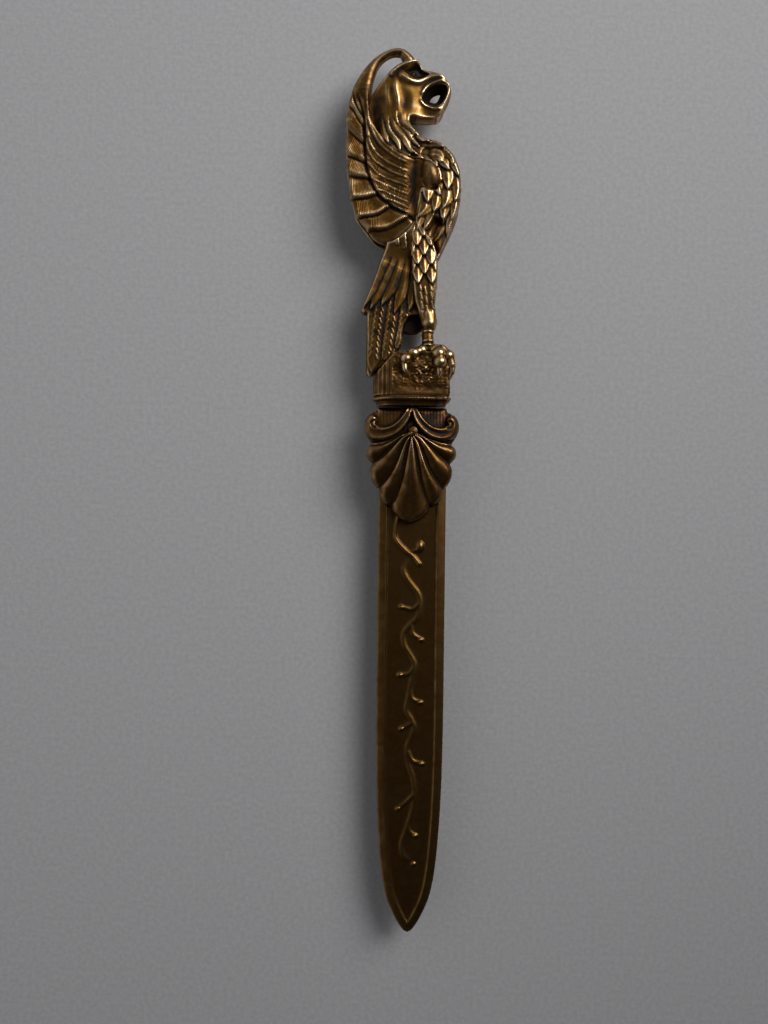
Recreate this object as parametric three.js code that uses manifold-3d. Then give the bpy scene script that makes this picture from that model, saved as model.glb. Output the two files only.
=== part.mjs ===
// An ornamental bronze paper knife. Its handle is a standing eagle in the round, with swept-up wings and an open
// beak, on a rock-faced plinth. Under the plinth are a moulded collar and a palmette guard of two shells, which
// clasp a flat blade. Every casting is separate and is held to its neighbour by a dowel, a pin or a rivet.
//
// Millimetres. While it is modelled, X runs across the blade, towards the eagle's breast, Y runs from the point of
// the blade to the head, and Z is the thickness. Z = 0 is the plane of symmetry, Y = 0 is the top of the collar and
// X = 0 is the middle of the blade. The last group moves all of it to the part's own frame: the knife lies on its
// side on the XY plane, and the origin is under the middle of its box.
import * as THREE from "three";
import { mergeVertices } from "three/addons/utils/BufferGeometryUtils.js";
import Module from "manifold-3d";

const wasm = await Module();
wasm.setup();

// ---- driving dimensions --------------------------------------------------------------------------------------

const GAP = 0.25; // between two castings that meet
const PIN_GAP = 0.12; // round a dowel in its hole

const BLADE = { width: 17.4, thickness: 1.8, shoulderY: -14, straightY: -84, pointY: -138.1 };
const BORDER = { width: 2.5, step: 0.3, backTopY: -34.5 }; // the raised rim round each face of the blade
const TANG = { width: 6.4, topY: 9.5 };
const VINE = { width: 0.8, height: 0.45, ball: 0.75 }; // the vine in relief on the front of the blade
const COLLAR = { lowY: -1.7, highY: 0.9, left: -11.2, right: 9.6, halfDepth: 5.7 };
const PLINTH = { lowY: 1.2, highY: 12.3, left: -10.6, right: 9.2, halfDepth: 5.0 };
const GUARD = { topY: -2.0, tipY: -31.8, halfWidth: 12.2, halfDepth: 5.2 };

const WING = { inner: 2.6, outer: 5.3, tipZ: 1.35, feathers: 9, ridges: 9, trim: 0.8 }; // depths from the plane of symmetry
const LEG = { x: 3.6, z: 3.2, seat: 1.6, trim: 0.4 }; // a shank's centre line, and the flat seat inside the thigh
const SIDES = { right: 1, left: -1 }; // the eagle's right side is on +Z

// ---- materials -----------------------------------------------------------------------------------------------

const bronze = (color, roughness) => new THREE.MeshStandardMaterial({ color, roughness, metalness: 1 });
const MATERIALS = {
  figure: bronze(0xa9803f, 0.34),
  guard: bronze(0x7d5f33, 0.4),
  blade: bronze(0x5a4024, 0.36),
  pin: bronze(0xb08d4c, 0.3),
};

// ---- solids --------------------------------------------------------------------------------------------------

function solidOf(geometry) {
  const bare = geometry.index ? geometry.toNonIndexed() : geometry.clone();
  for (const name of ["normal", "uv"]) bare.deleteAttribute(name);
  const merged = mergeVertices(bare, 1e-4);
  const mesh = new wasm.Mesh({
    numProp: 3,
    vertProperties: new Float32Array(merged.attributes.position.array),
    triVerts: new Uint32Array(merged.index.array),
  });
  return new wasm.Manifold(mesh);
}

function geometryOf(solid) {
  const mesh = solid.getMesh();
  const geometry = new THREE.BufferGeometry();
  geometry.setAttribute("position", new THREE.BufferAttribute(new Float32Array(mesh.vertProperties), 3));
  geometry.setIndex(new THREE.BufferAttribute(new Uint32Array(mesh.triVerts), 1));
  geometry.computeVertexNormals();
  return geometry;
}

const joined = (geometries) => geometries.map(solidOf).reduce((whole, next) => whole.add(next));

/** The geometries joined into one, less all the tools. */
function cast(geometries, tools = []) {
  return geometryOf(tools.map(solidOf).reduce((whole, tool) => whole.subtract(tool), joined(geometries)));
}

/** The geometries joined into one, with whatever is outside the limit cut off. */
const within = (limit, geometries) => geometryOf(joined(geometries).intersect(solidOf(limit)));

// ---- shapes --------------------------------------------------------------------------------------------------

const vectors = (points) => points.map(([x, y]) => new THREE.Vector2(x, y));

/** A closed outline of smooth runs. A run begins where the one before it ends, and the runs meet at corners. */
function outlineOf(runs) {
  const shape = new THREE.Shape();
  shape.moveTo(...runs[0][0]);
  for (const run of runs) shape.splineThru(vectors(run.slice(1)));
  return shape;
}

/** A plate of that outline from z = low to z = high, with its edges rounded off by `edge` on the named faces. */
function plate(shape, low, high, { edge = 0, segments = 1, grow = 0, curveSegments = 2 } = {}) {
  const geometry = new THREE.ExtrudeGeometry(shape, {
    depth: high - low - 2 * edge,
    bevelEnabled: edge > 0 || grow > 0,
    bevelThickness: edge,
    bevelSize: edge + grow,
    bevelOffset: -edge,
    bevelSegments: segments,
    curveSegments,
  });
  return geometry.translate(0, 0, low + edge);
}

/** A straight-sided prism of an outline grown by `grow`, for cutting a seat. */
function seat(shape, low, high, grow = GAP) {
  const geometry = new THREE.ExtrudeGeometry(shape, {
    depth: high - low - 0.02,
    bevelThickness: 0.01,
    bevelSize: 0.001,
    bevelOffset: grow,
    bevelSegments: 1,
    curveSegments: 2,
  });
  return geometry.translate(0, 0, low + 0.01);
}

function ellipsoid([x, y, z], [rx, ry, rz], turn = 0, fineness = 12) {
  const ball = new THREE.SphereGeometry(1, fineness, Math.round(fineness * 0.7));
  return ball.scale(rx, ry, rz).rotateZ(THREE.MathUtils.degToRad(turn)).translate(x, y, z);
}

/** A rod of oval section along a smooth path: `thick` across the knife's depth and `wide` in its plane. */
function rod(path, wide, thick = wide, { sides = 8, steps = 6 } = {}) {
  const section = new THREE.Shape(
    Array.from({ length: sides }, (_, i) => {
      const angle = (2 * Math.PI * (i + 0.5)) / sides;
      return new THREE.Vector2((thick / 2) * Math.cos(angle), (wide / 2) * Math.sin(angle));
    }),
  );
  const curve = new THREE.CatmullRomCurve3(path.map((p) => new THREE.Vector3(...p)));
  return new THREE.ExtrudeGeometry(section, { steps, extrudePath: curve, bevelEnabled: false });
}

/** A round pin of that radius from one point to another. */
function pin(from, to, radius, sides = 12) {
  const a = new THREE.Vector3(...from);
  const b = new THREE.Vector3(...to);
  const along = b.clone().sub(a);
  const turn = new THREE.Quaternion().setFromUnitVectors(new THREE.Vector3(0, 1, 0), along.clone().normalize());
  const middle = a.add(b).multiplyScalar(0.5);
  return new THREE.CylinderGeometry(radius, radius, along.length(), sides)
    .applyQuaternion(turn)
    .translate(middle.x, middle.y, middle.z);
}

function box(low, high) {
  const [w, h, d] = high.map((value, i) => value - low[i]);
  return new THREE.BoxGeometry(w, h, d).translate((low[0] + high[0]) / 2, (low[1] + high[1]) / 2, (low[2] + high[2]) / 2);
}

/** A block that begins at a joint face through `point` and lies on the side that `turn`, in degrees, looks to. */
function beyond([x, y], turn, size = 40) {
  return new THREE.BoxGeometry(size, size, size)
    .translate(size / 2, 0, 0)
    .rotateZ(THREE.MathUtils.degToRad(turn))
    .translate(x, y, 0);
}

const smoothstep = (low, high, value) => THREE.MathUtils.smoothstep(value, low, high);

// ---- dowels, pins and the rivet, as [from, to, radius] ---------------------------------------------------------

const PINS = {
  tang_pin: [[0, 5.2, -4.6], [0, 5.2, 4.6], 0.9],
  foot_pin_right: [[LEG.x, 8.5, LEG.z], [LEG.x, 14.5, LEG.z], 0.6],
  foot_pin_left: [[LEG.x, 8.5, -LEG.z], [LEG.x, 14.5, -LEG.z], 0.6],
  hip_pin: [[2.4, 37.5, -3.9], [2.4, 37.5, 3.9], 0.9],
  tail_pin: [[-3.2, 38.2, 0], [-7.2, 29.0, 0], 0.9],
  wing_pin: [[-3.0, 56.0, -4.3], [-3.0, 56.0, 4.3], 1.0],
  neck_pin: [[-1.4, 61.2, 0], [-3.6, 70.8, 0], 1.0],
};
const RIVET = { y: -8.2, shank: 0.75, head: 1.1, depth: GUARD.halfDepth + 0.35 };

const pinHole = (name) => pin(PINS[name][0], PINS[name][1], PINS[name][2] + PIN_GAP);

// ---- the blade, with its tang ----------------------------------------------------------------------------------

/** One face of the blade down to a rounded point, `inset` inside its edge. */
function bladeOutline(inset, top = BLADE.shoulderY - inset) {
  const half = BLADE.width / 2 - inset;
  const point = BLADE.pointY + inset * 1.9;
  const shape = new THREE.Shape();
  shape.moveTo(-half, top);
  shape.lineTo(-half, BLADE.straightY);
  shape.bezierCurveTo(-half, BLADE.straightY - 32, -half * 0.72, point + 8, -1.2, point + 0.5);
  shape.quadraticCurveTo(0, point - 0.5, 1.2, point + 0.5);
  shape.bezierCurveTo(half * 0.72, point + 8, half, BLADE.straightY - 32, half, BLADE.straightY);
  shape.lineTo(half, top);
  shape.closePath();
  return shape;
}

/** The vine's stem, winding from the guard to the point. */
const STEM = [[-0.4, -40.6], [-2.1, -43.5], [-1.1, -46.4], [1.7, -50], [2.3, -52.8], [1.6, -56.2], [-0.5, -58.5],
  [-1.9, -60.8], [-1.6, -63.6], [-0.1, -66.1], [1.1, -68.8], [0.4, -72.5], [-0.5, -77.5], [-0.9, -80.5], [0.6, -83.2],
  [1.1, -85.5], [-0.6, -90], [-0.3, -94], [1.0, -98], [1.5, -102], [0.9, -106.5], [-0.6, -111.5], [-1.7, -115],
  [-1.2, -118.2], [1.4, -120.3]];
/** A long tendril that comes from under the guard and crosses the stem. */
const CROSSING = [[-3.2, -29], [-4.3, -33.5], [-4, -36.2], [-1.5, -39], [0.5, -40.6], [2.5, -43.1]];
/** Short tendrils, on the right and the left in turn, each from the stem to the ball at its end. */
const TENDRILS = [
  [[-0.4, -40.6], [0.6, -38.3], [2.9, -37.3]],
  [[2.2, -52.6], [0.3, -54.2], [-2.7, -53.6]],
  [[0.1, -57.9], [0.5, -60.5], [2.8, -62.2]],
  [[1.1, -68.8], [-0.4, -70.9], [-2.9, -71.3]],
  [[0, -74.5], [0.6, -77.4], [2.8, -78.4]],
  [[0.8, -83.5], [-0.6, -84.4], [-2.3, -85.3]],
  [[-0.6, -90.5], [0.8, -93.4], [3.3, -94.3]],
  [[1.5, -102], [-0.8, -104.4], [-2.9, -106.1]],
  [[-0.2, -110], [0.4, -111.9], [1.9, -113]],
];

function vineRelief() {
  const floor = BLADE.thickness / 2 - BORDER.step;
  const raise = (path) => path.map(([x, y]) => [x, y, floor]);
  const strand = (path, steps) => rod(raise(path), VINE.width, 2 * VINE.height, { sides: 6, steps });
  const balls = [STEM, ...TENDRILS].map((path) => ellipsoid(raise(path).at(-1), Array(3).fill(VINE.ball), 0, 8));
  return [strand(STEM, 60), strand(CROSSING, 12), ...TENDRILS.map((path) => strand(path, 5)), ...balls];
}

function bladeGeometry() {
  const half = BLADE.thickness / 2;
  const body = plate(bladeOutline(0), -half, half, { edge: 0.5, segments: 1, curveSegments: 10 });
  // In front the sunk field runs up under the guard. On the back it stops short of the guard's tip.
  const depth = 1 + BORDER.step;
  const recesses = [
    plate(bladeOutline(BORDER.width), half - BORDER.step, half - BORDER.step + depth, { curveSegments: 10 }),
    plate(bladeOutline(BORDER.width, BORDER.backTopY), -half - 1, BORDER.step - half, { curveSegments: 10 }),
  ];
  const tang = box([-TANG.width / 2, BLADE.shoulderY - 4, -half + 0.1], [TANG.width / 2, TANG.topY, half - 0.1]);
  const shoulderFill = box([-8, BLADE.shoulderY - 3, -half + 0.1], [8, BLADE.shoulderY - 1, half - 0.1]);
  return cast([cast([body], recesses), tang, shoulderFill, ...vineRelief()], [
    pin([0, RIVET.y, -5], [0, RIVET.y, 5], RIVET.shank + PIN_GAP),
    pinHole("tang_pin"),
  ]);
}

// ---- the palmette guard ----------------------------------------------------------------------------------------

/** The petals of one half of the palmette, from the volute down, as [reach, angle below the horizontal, width]. */
const PETALS = [
  [12.6, 21, 5.0],
  [14.9, 39, 5.4],
  [16.6, 56, 5.2],
  [18.9, 71, 5.0],
];
const PALMETTE_HEART = [0, -9.5];
/** The band that sweeps out from the middle under the collar and curls up into a scroll. */
const VOLUTE = [[0.4, -2.6], [2.6, -6], [6, -8.8], [9.2, -9.2], [11.3, -7.6], [11.2, -5.2], [9.4, -4.6], [8.6, -5.8]];

/** One shell of the guard, on +Z: scooped petals that fan out from its heart, a volute at each side and a panel. */
function guardGeometry() {
  const back = 0.15;
  const { topY, tipY, halfDepth } = GUARD;
  const [heartX, heartY] = PALMETTE_HEART;
  const leaf = (heartY - tipY) / 2;
  const pieces = [
    ellipsoid([heartX, heartY + 1, back], [5.4, 7, halfDepth - back]),
    ellipsoid([heartX, heartY - leaf, back], [3.2, leaf, halfDepth - 0.2]),
    plate(outlineOf([[[-9.2, topY], [9.2, topY]], [[9.2, topY], [8.4, -11]], [[8.4, -11], [-8.4, -11]],
      [[-8.4, -11], [-9.2, topY]]]), back, 3.3, { edge: 0.4 }),
  ];
  const scoops = [];
  for (const side of [-1, 1]) {
    for (const [reach, fall, width] of PETALS) {
      const angle = THREE.MathUtils.degToRad(fall);
      const at = (share) => [heartX + side * share * reach * Math.cos(angle), heartY - share * reach * Math.sin(angle)];
      const height = 3.2 + 0.02 * fall;
      pieces.push(ellipsoid([...at(0.54), back], [0.48 * reach, width / 2, height], -side * fall, 10));
      scoops.push(ellipsoid([...at(0.7), back + height + 0.5], [0.32 * reach, width * 0.3, 1.5], -side * fall, 8));
    }
    const curl = VOLUTE.map(([x, y]) => [side * x, y, 2.6]);
    pieces.push(rod(curl, 2.7, 4.2, { sides: 6, steps: 16 }), ellipsoid([side * 9.8, -6.6, 1.8], [2.2, 2.2, 2.4], 0, 10));
  }
  const half = BLADE.thickness / 2 + GAP;
  const width = BLADE.width / 2 + GAP;
  return cast([cast(pieces, scoops)], [
    box([-20, -40, -10], [20, 10, back]),
    box([-20, topY, -10], [20, 10, 10]),
    box([-width, -40, -1], [width, BLADE.shoulderY + GAP, half + 0.4]),
    box([-GUARD.halfWidth, -40, -1], [GUARD.halfWidth, -16, half + 0.4]),
    box([-TANG.width / 2 - GAP, BLADE.shoulderY - 1, -1], [TANG.width / 2 + GAP, 10, half]),
    pin([0, RIVET.y, -1], [0, RIVET.y, 8], RIVET.shank + PIN_GAP),
    pin([0, RIVET.y, RIVET.depth - 1 - GAP], [0, RIVET.y, 8], RIVET.head + PIN_GAP),
  ]);
}

/** The rivet through both shells and the tang, with a low dome at each end. */
function rivetGeometry() {
  const shoulder = RIVET.depth - 1;
  const half = [[0, shoulder + 1.2], [1, shoulder + 0.95], [RIVET.head, shoulder + 0.3], [RIVET.head, shoulder],
    [RIVET.shank, shoulder]];
  const profile = [...half, ...half.map(([r, y]) => [r, -y]).reverse()];
  const dome = new THREE.LatheGeometry(vectors(profile).reverse(), 12);
  return dome.rotateX(Math.PI / 2).translate(0, RIVET.y, 0);
}

// ---- the collar and the plinth ---------------------------------------------------------------------------------

/** A D-shaped section in plan, round on the tail side and nearly square on the other, laid along Y. */
function dBlock({ left, right, lowY, highY, halfDepth }, round, corner, edge) {
  const shape = new THREE.Shape();
  shape.moveTo(left + round, -halfDepth);
  shape.lineTo(right - corner, -halfDepth);
  shape.quadraticCurveTo(right, -halfDepth, right, -halfDepth + corner);
  shape.lineTo(right, halfDepth - corner);
  shape.quadraticCurveTo(right, halfDepth, right - corner, halfDepth);
  shape.lineTo(left + round, halfDepth);
  shape.bezierCurveTo(left + round * 0.3, halfDepth, left, halfDepth * 0.6, left, 0);
  shape.bezierCurveTo(left, -halfDepth * 0.6, left + round * 0.3, -halfDepth, left + round, -halfDepth);
  return plate(shape, lowY, highY, { edge, segments: edge > 0.5 ? 3 : 1, curveSegments: 5 }).rotateX(-Math.PI / 2);
}

const tangSlot = () => {
  const half = BLADE.thickness / 2 + GAP;
  return box([-TANG.width / 2 - GAP, -20, -half], [TANG.width / 2 + GAP, TANG.topY + GAP, half]);
};

const collarGeometry = () => cast([dBlock(COLLAR, 6.5, 1.4, 0.8)], [tangSlot()]);

/** The rock that the eagle stands on. Its corner under the tail is cut away along the tail's lower edge. */
function plinthGeometry() {
  const tools = [tangSlot(), pinHole("tang_pin"), pinHole("foot_pin_right"), pinHole("foot_pin_left")];
  const tailSide = beyond([-7.2, 8.2], 134, 16);
  return cast([dBlock(PLINTH, 6, 0.7, 0.4)], [...tools, tailSide]);
}

// ---- the wings -------------------------------------------------------------------------------------------------

/** From the tip over the head, round the back of the wing, to the lowest feather. */
const WING_BACK = [[-1.6, 88.2], [-3.4, 90.5], [-6.8, 91.0], [-11.5, 88.2], [-16.2, 81.5], [-18.2, 74], [-18.5, 65],
  [-17.8, 55.5], [-15.2, 47], [-11, 41.2], [-6.8, 39.6], [-1.6, 43], [0.9, 46.2]];
/** Up the front of the wing, round the knuckle of the shoulder and up to the arch. */
const WING_FRONT = [[0.9, 46.2], [1.5, 50], [2.2, 53.6]];
const WING_KNUCKLE = [[2.2, 53.6], [4.2, 53], [6, 54.8], [5.7, 58], [3.8, 60.8], [0.8, 61.5]];
const WING_RIDGE = [[0.8, 61.5], [-4.5, 63.4], [-9.2, 67.6], [-11.8, 72.5], [-12.5, 77.5]];
const WING_ARCH = [[-12.5, 77.5], [-12, 82], [-10.4, 86.2], [-7.4, 88.9], [-4.8, 88.9], [-3.6, 87.6]];
/** The line that the long feathers come out from under, from the arch to the foot of the wing. */
const COVERT_EDGE = [[-15.4, 80], [-13.9, 73.5], [-13.2, 66], [-12.6, 60], [-10.9, 54.8], [-7, 50], [-2.4, 47.6], [0.9, 46.2]];

const wingOutline = () => outlineOf([WING_BACK, WING_FRONT, WING_KNUCKLE, WING_RIDGE, WING_ARCH, [[-3.6, 87.6], [-1.6, 88.2]]]);
const covertOutline = () =>
  outlineOf([COVERT_EDGE, WING_FRONT, WING_KNUCKLE, WING_RIDGE, [[-12.5, 77.5], [-15.4, 80]]]);

/** How far a wing's middle stands from the plane of symmetry: the two wings close together over the head. */
const wingMiddle = (y) =>
  THREE.MathUtils.lerp((WING.inner + WING.outer) / 2, WING.tipZ, smoothstep(72, 87, y));

/** One long feather, from under the coverts to the back edge of the wing. */
function feather(i) {
  const share = (i + 0.5) / WING.feathers;
  const tips = new THREE.SplineCurve(vectors(WING_BACK.slice(3)));
  const roots = new THREE.SplineCurve(vectors(COVERT_EDGE));
  const tip = tips.getPoint(0.16 + 0.76 * share);
  const root = roots.getPoint(0.16 + 0.72 * share);
  const bow = new THREE.Vector2(tip.y - root.y, root.x - tip.x).multiplyScalar(0.1);
  const middle = tip.clone().add(root).multiplyScalar(0.5).add(bow);
  const inside = root.clone().add(root.clone().sub(tip).multiplyScalar(0.25));
  const end = tip.clone().lerp(root, 0.1);
  const path = [end, middle, root, inside].map((p) => [p.x, p.y, wingMiddle(p.y) - 0.1]);
  return rod(path, 5.2, 1.9, { sides: 6, steps: 4 });
}

/** A narrow ridge across the coverts, from their edge down to the smooth band at the front of the wing. */
function covertRidge(i) {
  const from = new THREE.SplineCurve(vectors(COVERT_EDGE)).getPoint(0.1 + 0.078 * i);
  const to = new THREE.Vector2(-1.4, 61 - 1.7 * i);
  const sag = new THREE.Vector2(-1.1, -1.5).multiplyScalar(from.distanceTo(to) / 14);
  const middle = from.clone().add(to).multiplyScalar(0.5).add(sag);
  return rod([from, middle, to].map((p) => [p.x, p.y, WING.outer - 0.15]), 0.9, 0.9, { sides: 4, steps: 4 });
}

function wingGeometry() {
  const { inner, outer } = WING;
  const arch = [[-13.6, 70], [-15, 76], [-14, 82.5], [-10.4, 87.6], [-6.2, 90], [-3.2, 89.2], [-2.4, 88.4]];
  const coverts = plate(covertOutline(), inner, outer, { edge: 0.4, curveSegments: 1 });
  const archRod = rod(arch.map(([x, y]) => [x, y, wingMiddle(y)]), 2.4, 2.2, { steps: 12 });
  const bridge = plate(outlineOf([[[-16.6, 79], [-12.6, 79]], [[-12.6, 79], [-12.2, 70]], [[-12.2, 70], [-15.5, 70]],
    [[-15.5, 70], [-16.6, 79]]]), 2.0, 4.2);
  const knuckle = ellipsoid([3.6, 57.2, 3.7], [2.9, 4.2, 1.75], 8);
  const tip = ellipsoid([...arch.at(-1), WING.tipZ], [1.2, 1.2, 1.1], 0, 8);
  const feathers = Array.from({ length: WING.feathers }, (_, i) => feather(i));
  const ridges = Array.from({ length: WING.ridges }, (_, i) => covertRidge(i));
  const limit = seat(wingOutline(), -1, 12, WING.trim);
  return cast([within(limit, [coverts, archRod, tip, bridge, knuckle, ...feathers, ...ridges])], [
    pinHole("wing_pin"),
    box([-30, 30, -5], [20, 76, inner]),
    box([-30, 76, -5], [20, 95, 0.2]),
  ]);
}

// ---- the head, body and tail -----------------------------------------------------------------------------------

const NECK_JOINT = { point: [-2.6, 65.2], turn: 103 }; // the head is on the side that this face looks to
const TAIL_JOINT = { point: [-5.0, 34.2], turn: 246 };

const wingSeats = () =>
  Object.values(SIDES).map((side) =>
    seat(wingOutline(), side > 0 ? WING.inner - GAP : -9, side > 0 ? 9 : GAP - WING.inner, WING.trim + GAP),
  );

const thighSeats = () =>
  Object.values(SIDES).map((side) =>
    seat(thighOutline(), side > 0 ? LEG.seat - GAP : -9, side > 0 ? 9 : GAP - LEG.seat, LEG.trim + GAP),
  );

/** The joint face's own block, moved back by half a gap. */
function jointBlock({ point: [x, y], turn }, away) {
  const angle = THREE.MathUtils.degToRad(turn + (away ? 0 : 180));
  return beyond([x - (Math.cos(angle) * GAP) / 2, y - (Math.sin(angle) * GAP) / 2], away ? turn : turn + 180);
}

const HEAD_OUTLINE = [
  [[0.6, 87], [1.4, 85.2]],
  [[1.4, 85.2], [3.4, 84.9], [6.2, 83.9], [8.3, 81.8], [8.7, 79.4], [8, 76.6], [6.9, 74.2], [5.4, 72.5]],
  [[5.4, 72.5], [2, 72.1], [-1.6, 72.4]],
  [[-1.6, 72.4], [-1.4, 70.4], [0.4, 68], [1.6, 66]],
  [[1.6, 66], [-2.5, 62.5], [-8.5, 64]],
  [[-8.5, 64], [-10.9, 71], [-10.7, 77.5], [-8.6, 82], [-5.6, 85.2], [-2.6, 86.6], [0.6, 87]],
];

function headGeometry() {
  const mouth = plate(
    outlineOf([[[1.4, 78.2], [3.4, 80.8], [6.2, 81.2], [7.6, 79.8], [6.8, 77.2], [4.8, 75.6], [2.4, 76.2], [1.4, 78.2]]]), -6, 6);
  const neck = [[-2.2, 61.5, 0], [-5.2, 68, 0], [-6.2, 74, 0], [-5, 80, 0], [-2.6, 83.4, 0]];
  const eyes = [-1, 1].map((side) => ellipsoid([1.0, 83.4, side * 3.6], [1.7, 0.9, 1.2], 8, 8));
  return cast(
    [
      plate(outlineOf(HEAD_OUTLINE), -2.4, 2.4, { edge: 0.4, curveSegments: 1 }),
      rod(neck, 7.4, 7.2, { sides: 12, steps: 8 }),
      ellipsoid([-2.2, 81.6, 0], [5.2, 5, 3.9], 10, 16),
      ellipsoid([3.6, 82.6, 0], [4.2, 1.9, 3.2], -14, 12),
    ],
    [mouth, ...eyes, jointBlock(NECK_JOINT, false), ...wingSeats(), pinHole("neck_pin")],
  );
}

function bodyGeometry() {
  const breast = ellipsoid([4.6, 53, 0], [7, 13, 5.3], 0, 16);
  const nape = ellipsoid([-1, 61, 0], [6.4, 7, 4.9]);
  const belly = ellipsoid([2, 44.5, 0], [5.8, 10.5, 4.8]);
  const back = ellipsoid([-4.5, 51, 0], [5.4, 15, 3.4]);
  const rump = ellipsoid([-3.6, 39, 0], [5.2, 7.5, 3.3], -14);
  return cast([breast, nape, belly, back, rump], [
    jointBlock(NECK_JOINT, true),
    jointBlock(TAIL_JOINT, true),
    ...wingSeats(),
    ...thighSeats(),
    ...["neck_pin", "tail_pin", "hip_pin", "wing_pin"].map(pinHole),
  ]);
}

/** The tail in two tiers of feathers, the shorter one over the longer, down to the corner of the plinth. */
function tailGeometry() {
  const upper = outlineOf([
    [[-7.6, 40.5], [-9.2, 35.5], [-11.2, 29.6], [-14.0, 23.0]],
    [[-14.0, 23.0], [-12.2, 22.2]],
    [[-12.2, 22.2], [-7, 26], [-2.2, 36], [-2, 40.5]],
    [[-2, 40.5], [-7.6, 40.5]],
  ]);
  const lower = outlineOf([
    [[-8.6, 36], [-12, 24], [-12.5, 15], [-12.4, 7]],
    [[-12.4, 7], [-11.6, 5.6], [-10.6, 6.3]],
    [[-10.6, 6.3], [-3.8, 13.2]],
    [[-3.8, 13.2], [-2.7, 19.5], [-0.6, 24.4], [-1.4, 30], [-2.4, 36]],
    [[-2.4, 36], [-8.6, 36]],
  ]);
  return cast([plate(upper, -3.5, 3.5, { edge: 0.5 }), plate(lower, -2.9, 2.9, { edge: 0.3 })], [
    jointBlock(TAIL_JOINT, false),
    ...thighSeats(),
    pinHole("tail_pin"),
  ]);
}

// ---- the legs --------------------------------------------------------------------------------------------------

const thighOutline = () =>
  outlineOf([
    [[-0.9, 45], [1.4, 44.6], [4.4, 41], [5.8, 36], [5.7, 29], [5.4, 23.5]],
    [[5.4, 23.5], [1.4, 21.5]],
    [[1.4, 21.5], [-0.4, 26.5], [-1.2, 34], [-1.6, 40], [-0.9, 45]],
  ]);

/** Radius and height of the shank, from the rock up into the thigh. */
const SHANK = [[0, 12.7], [1.7, 12.7], [2, 13.4], [1.35, 14.3], [1.2, 15.6], [1.6, 16.2], [1.2, 17], [1.35, 18.2],
  [2.1, 19.2], [2.2, 20.4], [1.9, 22], [2.2, 25], [0, 27]];

/** The toes, each as its path and its width. The last point of each is the tip of its claw. */
const TOES = [
  { path: [[3.8, 13.6, 3.4], [6.8, 13.9, 4.0], [9.6, 11.6, 4.3], [10.7, 8.4, 4.2]], claw: [9.9, 5.2, 4.1], wide: 2.2 },
  { path: [[4.0, 13.6, 3.4], [6.0, 13.6, 5.2], [6.5, 11.2, 6.4], [6.3, 8.6, 6.4]], claw: [6.0, 5.6, 5.9], wide: 2.2 },
  { path: [[3.4, 13.6, 3.4], [0.9, 13.7, 4.9], [-1.5, 12.0, 6.2], [-2.3, 9.2, 6.4]], claw: [-1.5, 6.4, 5.9], wide: 2.0 },
];

function claw(from, to, wide) {
  const a = new THREE.Vector3(...from);
  const along = new THREE.Vector3(...to).sub(a);
  const turn = new THREE.Quaternion().setFromUnitVectors(new THREE.Vector3(0, 1, 0), along.clone().normalize());
  const cone = new THREE.ConeGeometry(wide * 0.42, along.length() * 1.15, 8).translate(0, along.length() * 0.42, 0);
  return cone.applyQuaternion(turn).translate(a.x, a.y, a.z);
}

/** The right leg: thigh, ringed shank and a foot whose toes grip the edge of the rock. */
function legGeometry() {
  const thigh = [ellipsoid([2.2, 35.4, 2.4], [3.6, 10.4, 2.8]), ellipsoid([3.2, 26, LEG.z - 0.2], [2.6, 6.5, 2.2])];
  const shank = new THREE.LatheGeometry(vectors(SHANK), 10).translate(LEG.x, 0, LEG.z);
  const toes = TOES.flatMap(({ path, claw: tip, wide }) => [
    rod(path, wide, wide, { sides: 6, steps: 5 }),
    ellipsoid(path[3], [wide / 2, wide / 2, wide / 2], 0, 8),
    claw(path[3], tip, wide),
  ]);
  const rock = box([PLINTH.left - 2, PLINTH.lowY - 2, -9], [PLINTH.right + GAP, PLINTH.highY + GAP, PLINTH.halfDepth + GAP]);
  const limit = seat(thighOutline(), LEG.seat, 12, LEG.trim);
  return cast([within(limit, thigh), shank, ...toes], [
    rock,
    box([-10, 21.5, -5], [10, 60, LEG.seat]),
    pinHole("hip_pin"),
    pinHole("foot_pin_right"),
  ]);
}

// ---- the assembly ----------------------------------------------------------------------------------------------

const knife = new THREE.Group();

function place(name, geometry, material, mirrored = false) {
  const mesh = new THREE.Mesh(geometry, MATERIALS[material]);
  mesh.name = name;
  if (mirrored) mesh.scale.z = -1;
  knife.add(mesh);
}

place("blade", bladeGeometry(), "blade");
place("guard_rivet", rivetGeometry(), "pin");
place("collar", collarGeometry(), "guard");
place("plinth", plinthGeometry(), "guard");
place("body", bodyGeometry(), "figure");
place("head", headGeometry(), "figure");
place("tail", tailGeometry(), "figure");
for (const [name, ends] of Object.entries(PINS)) place(name, pin(...ends), "pin");

const guard = guardGeometry();
place("guard_front", guard, "guard");
place("guard_back", guard, "guard", true);
for (const [side, sign] of Object.entries(SIDES)) {
  place("wing_" + side, wingGeometry(), "figure", sign < 0);
  place("leg_" + side, legGeometry(), "figure", sign < 0);
}

// The part's own frame: the middle of the box is over the origin, and the underside is at Z = 0.
const bounds = new THREE.Box3().setFromObject(knife);
const middle = bounds.getCenter(new THREE.Vector3());
knife.position.set(-middle.x, -middle.y, -bounds.min.z);

const part = new THREE.Group();
part.add(knife);

export default part;
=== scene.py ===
"""The looks of a bronze paper knife, with an eagle on a rock for its handle.

Each casting is carved as a solid field over a fine grid and skinned as a mesh that replaces its CAD solid. Its
relief is drawn in the plane of the knife: X runs across the blade to the side that the eagle faces, Y from the
blade's point to the head, and Z through the thickness. X = 0 and Z = 0 are the middle of the blade's box, which
takes in its vine, and Y = 0 crosses the collar. Lengths are millimetres until a mesh is made.
"""

import copy
import math

import bpy
import numpy as np
import openvdb
from mathutils import Matrix, Vector


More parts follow.
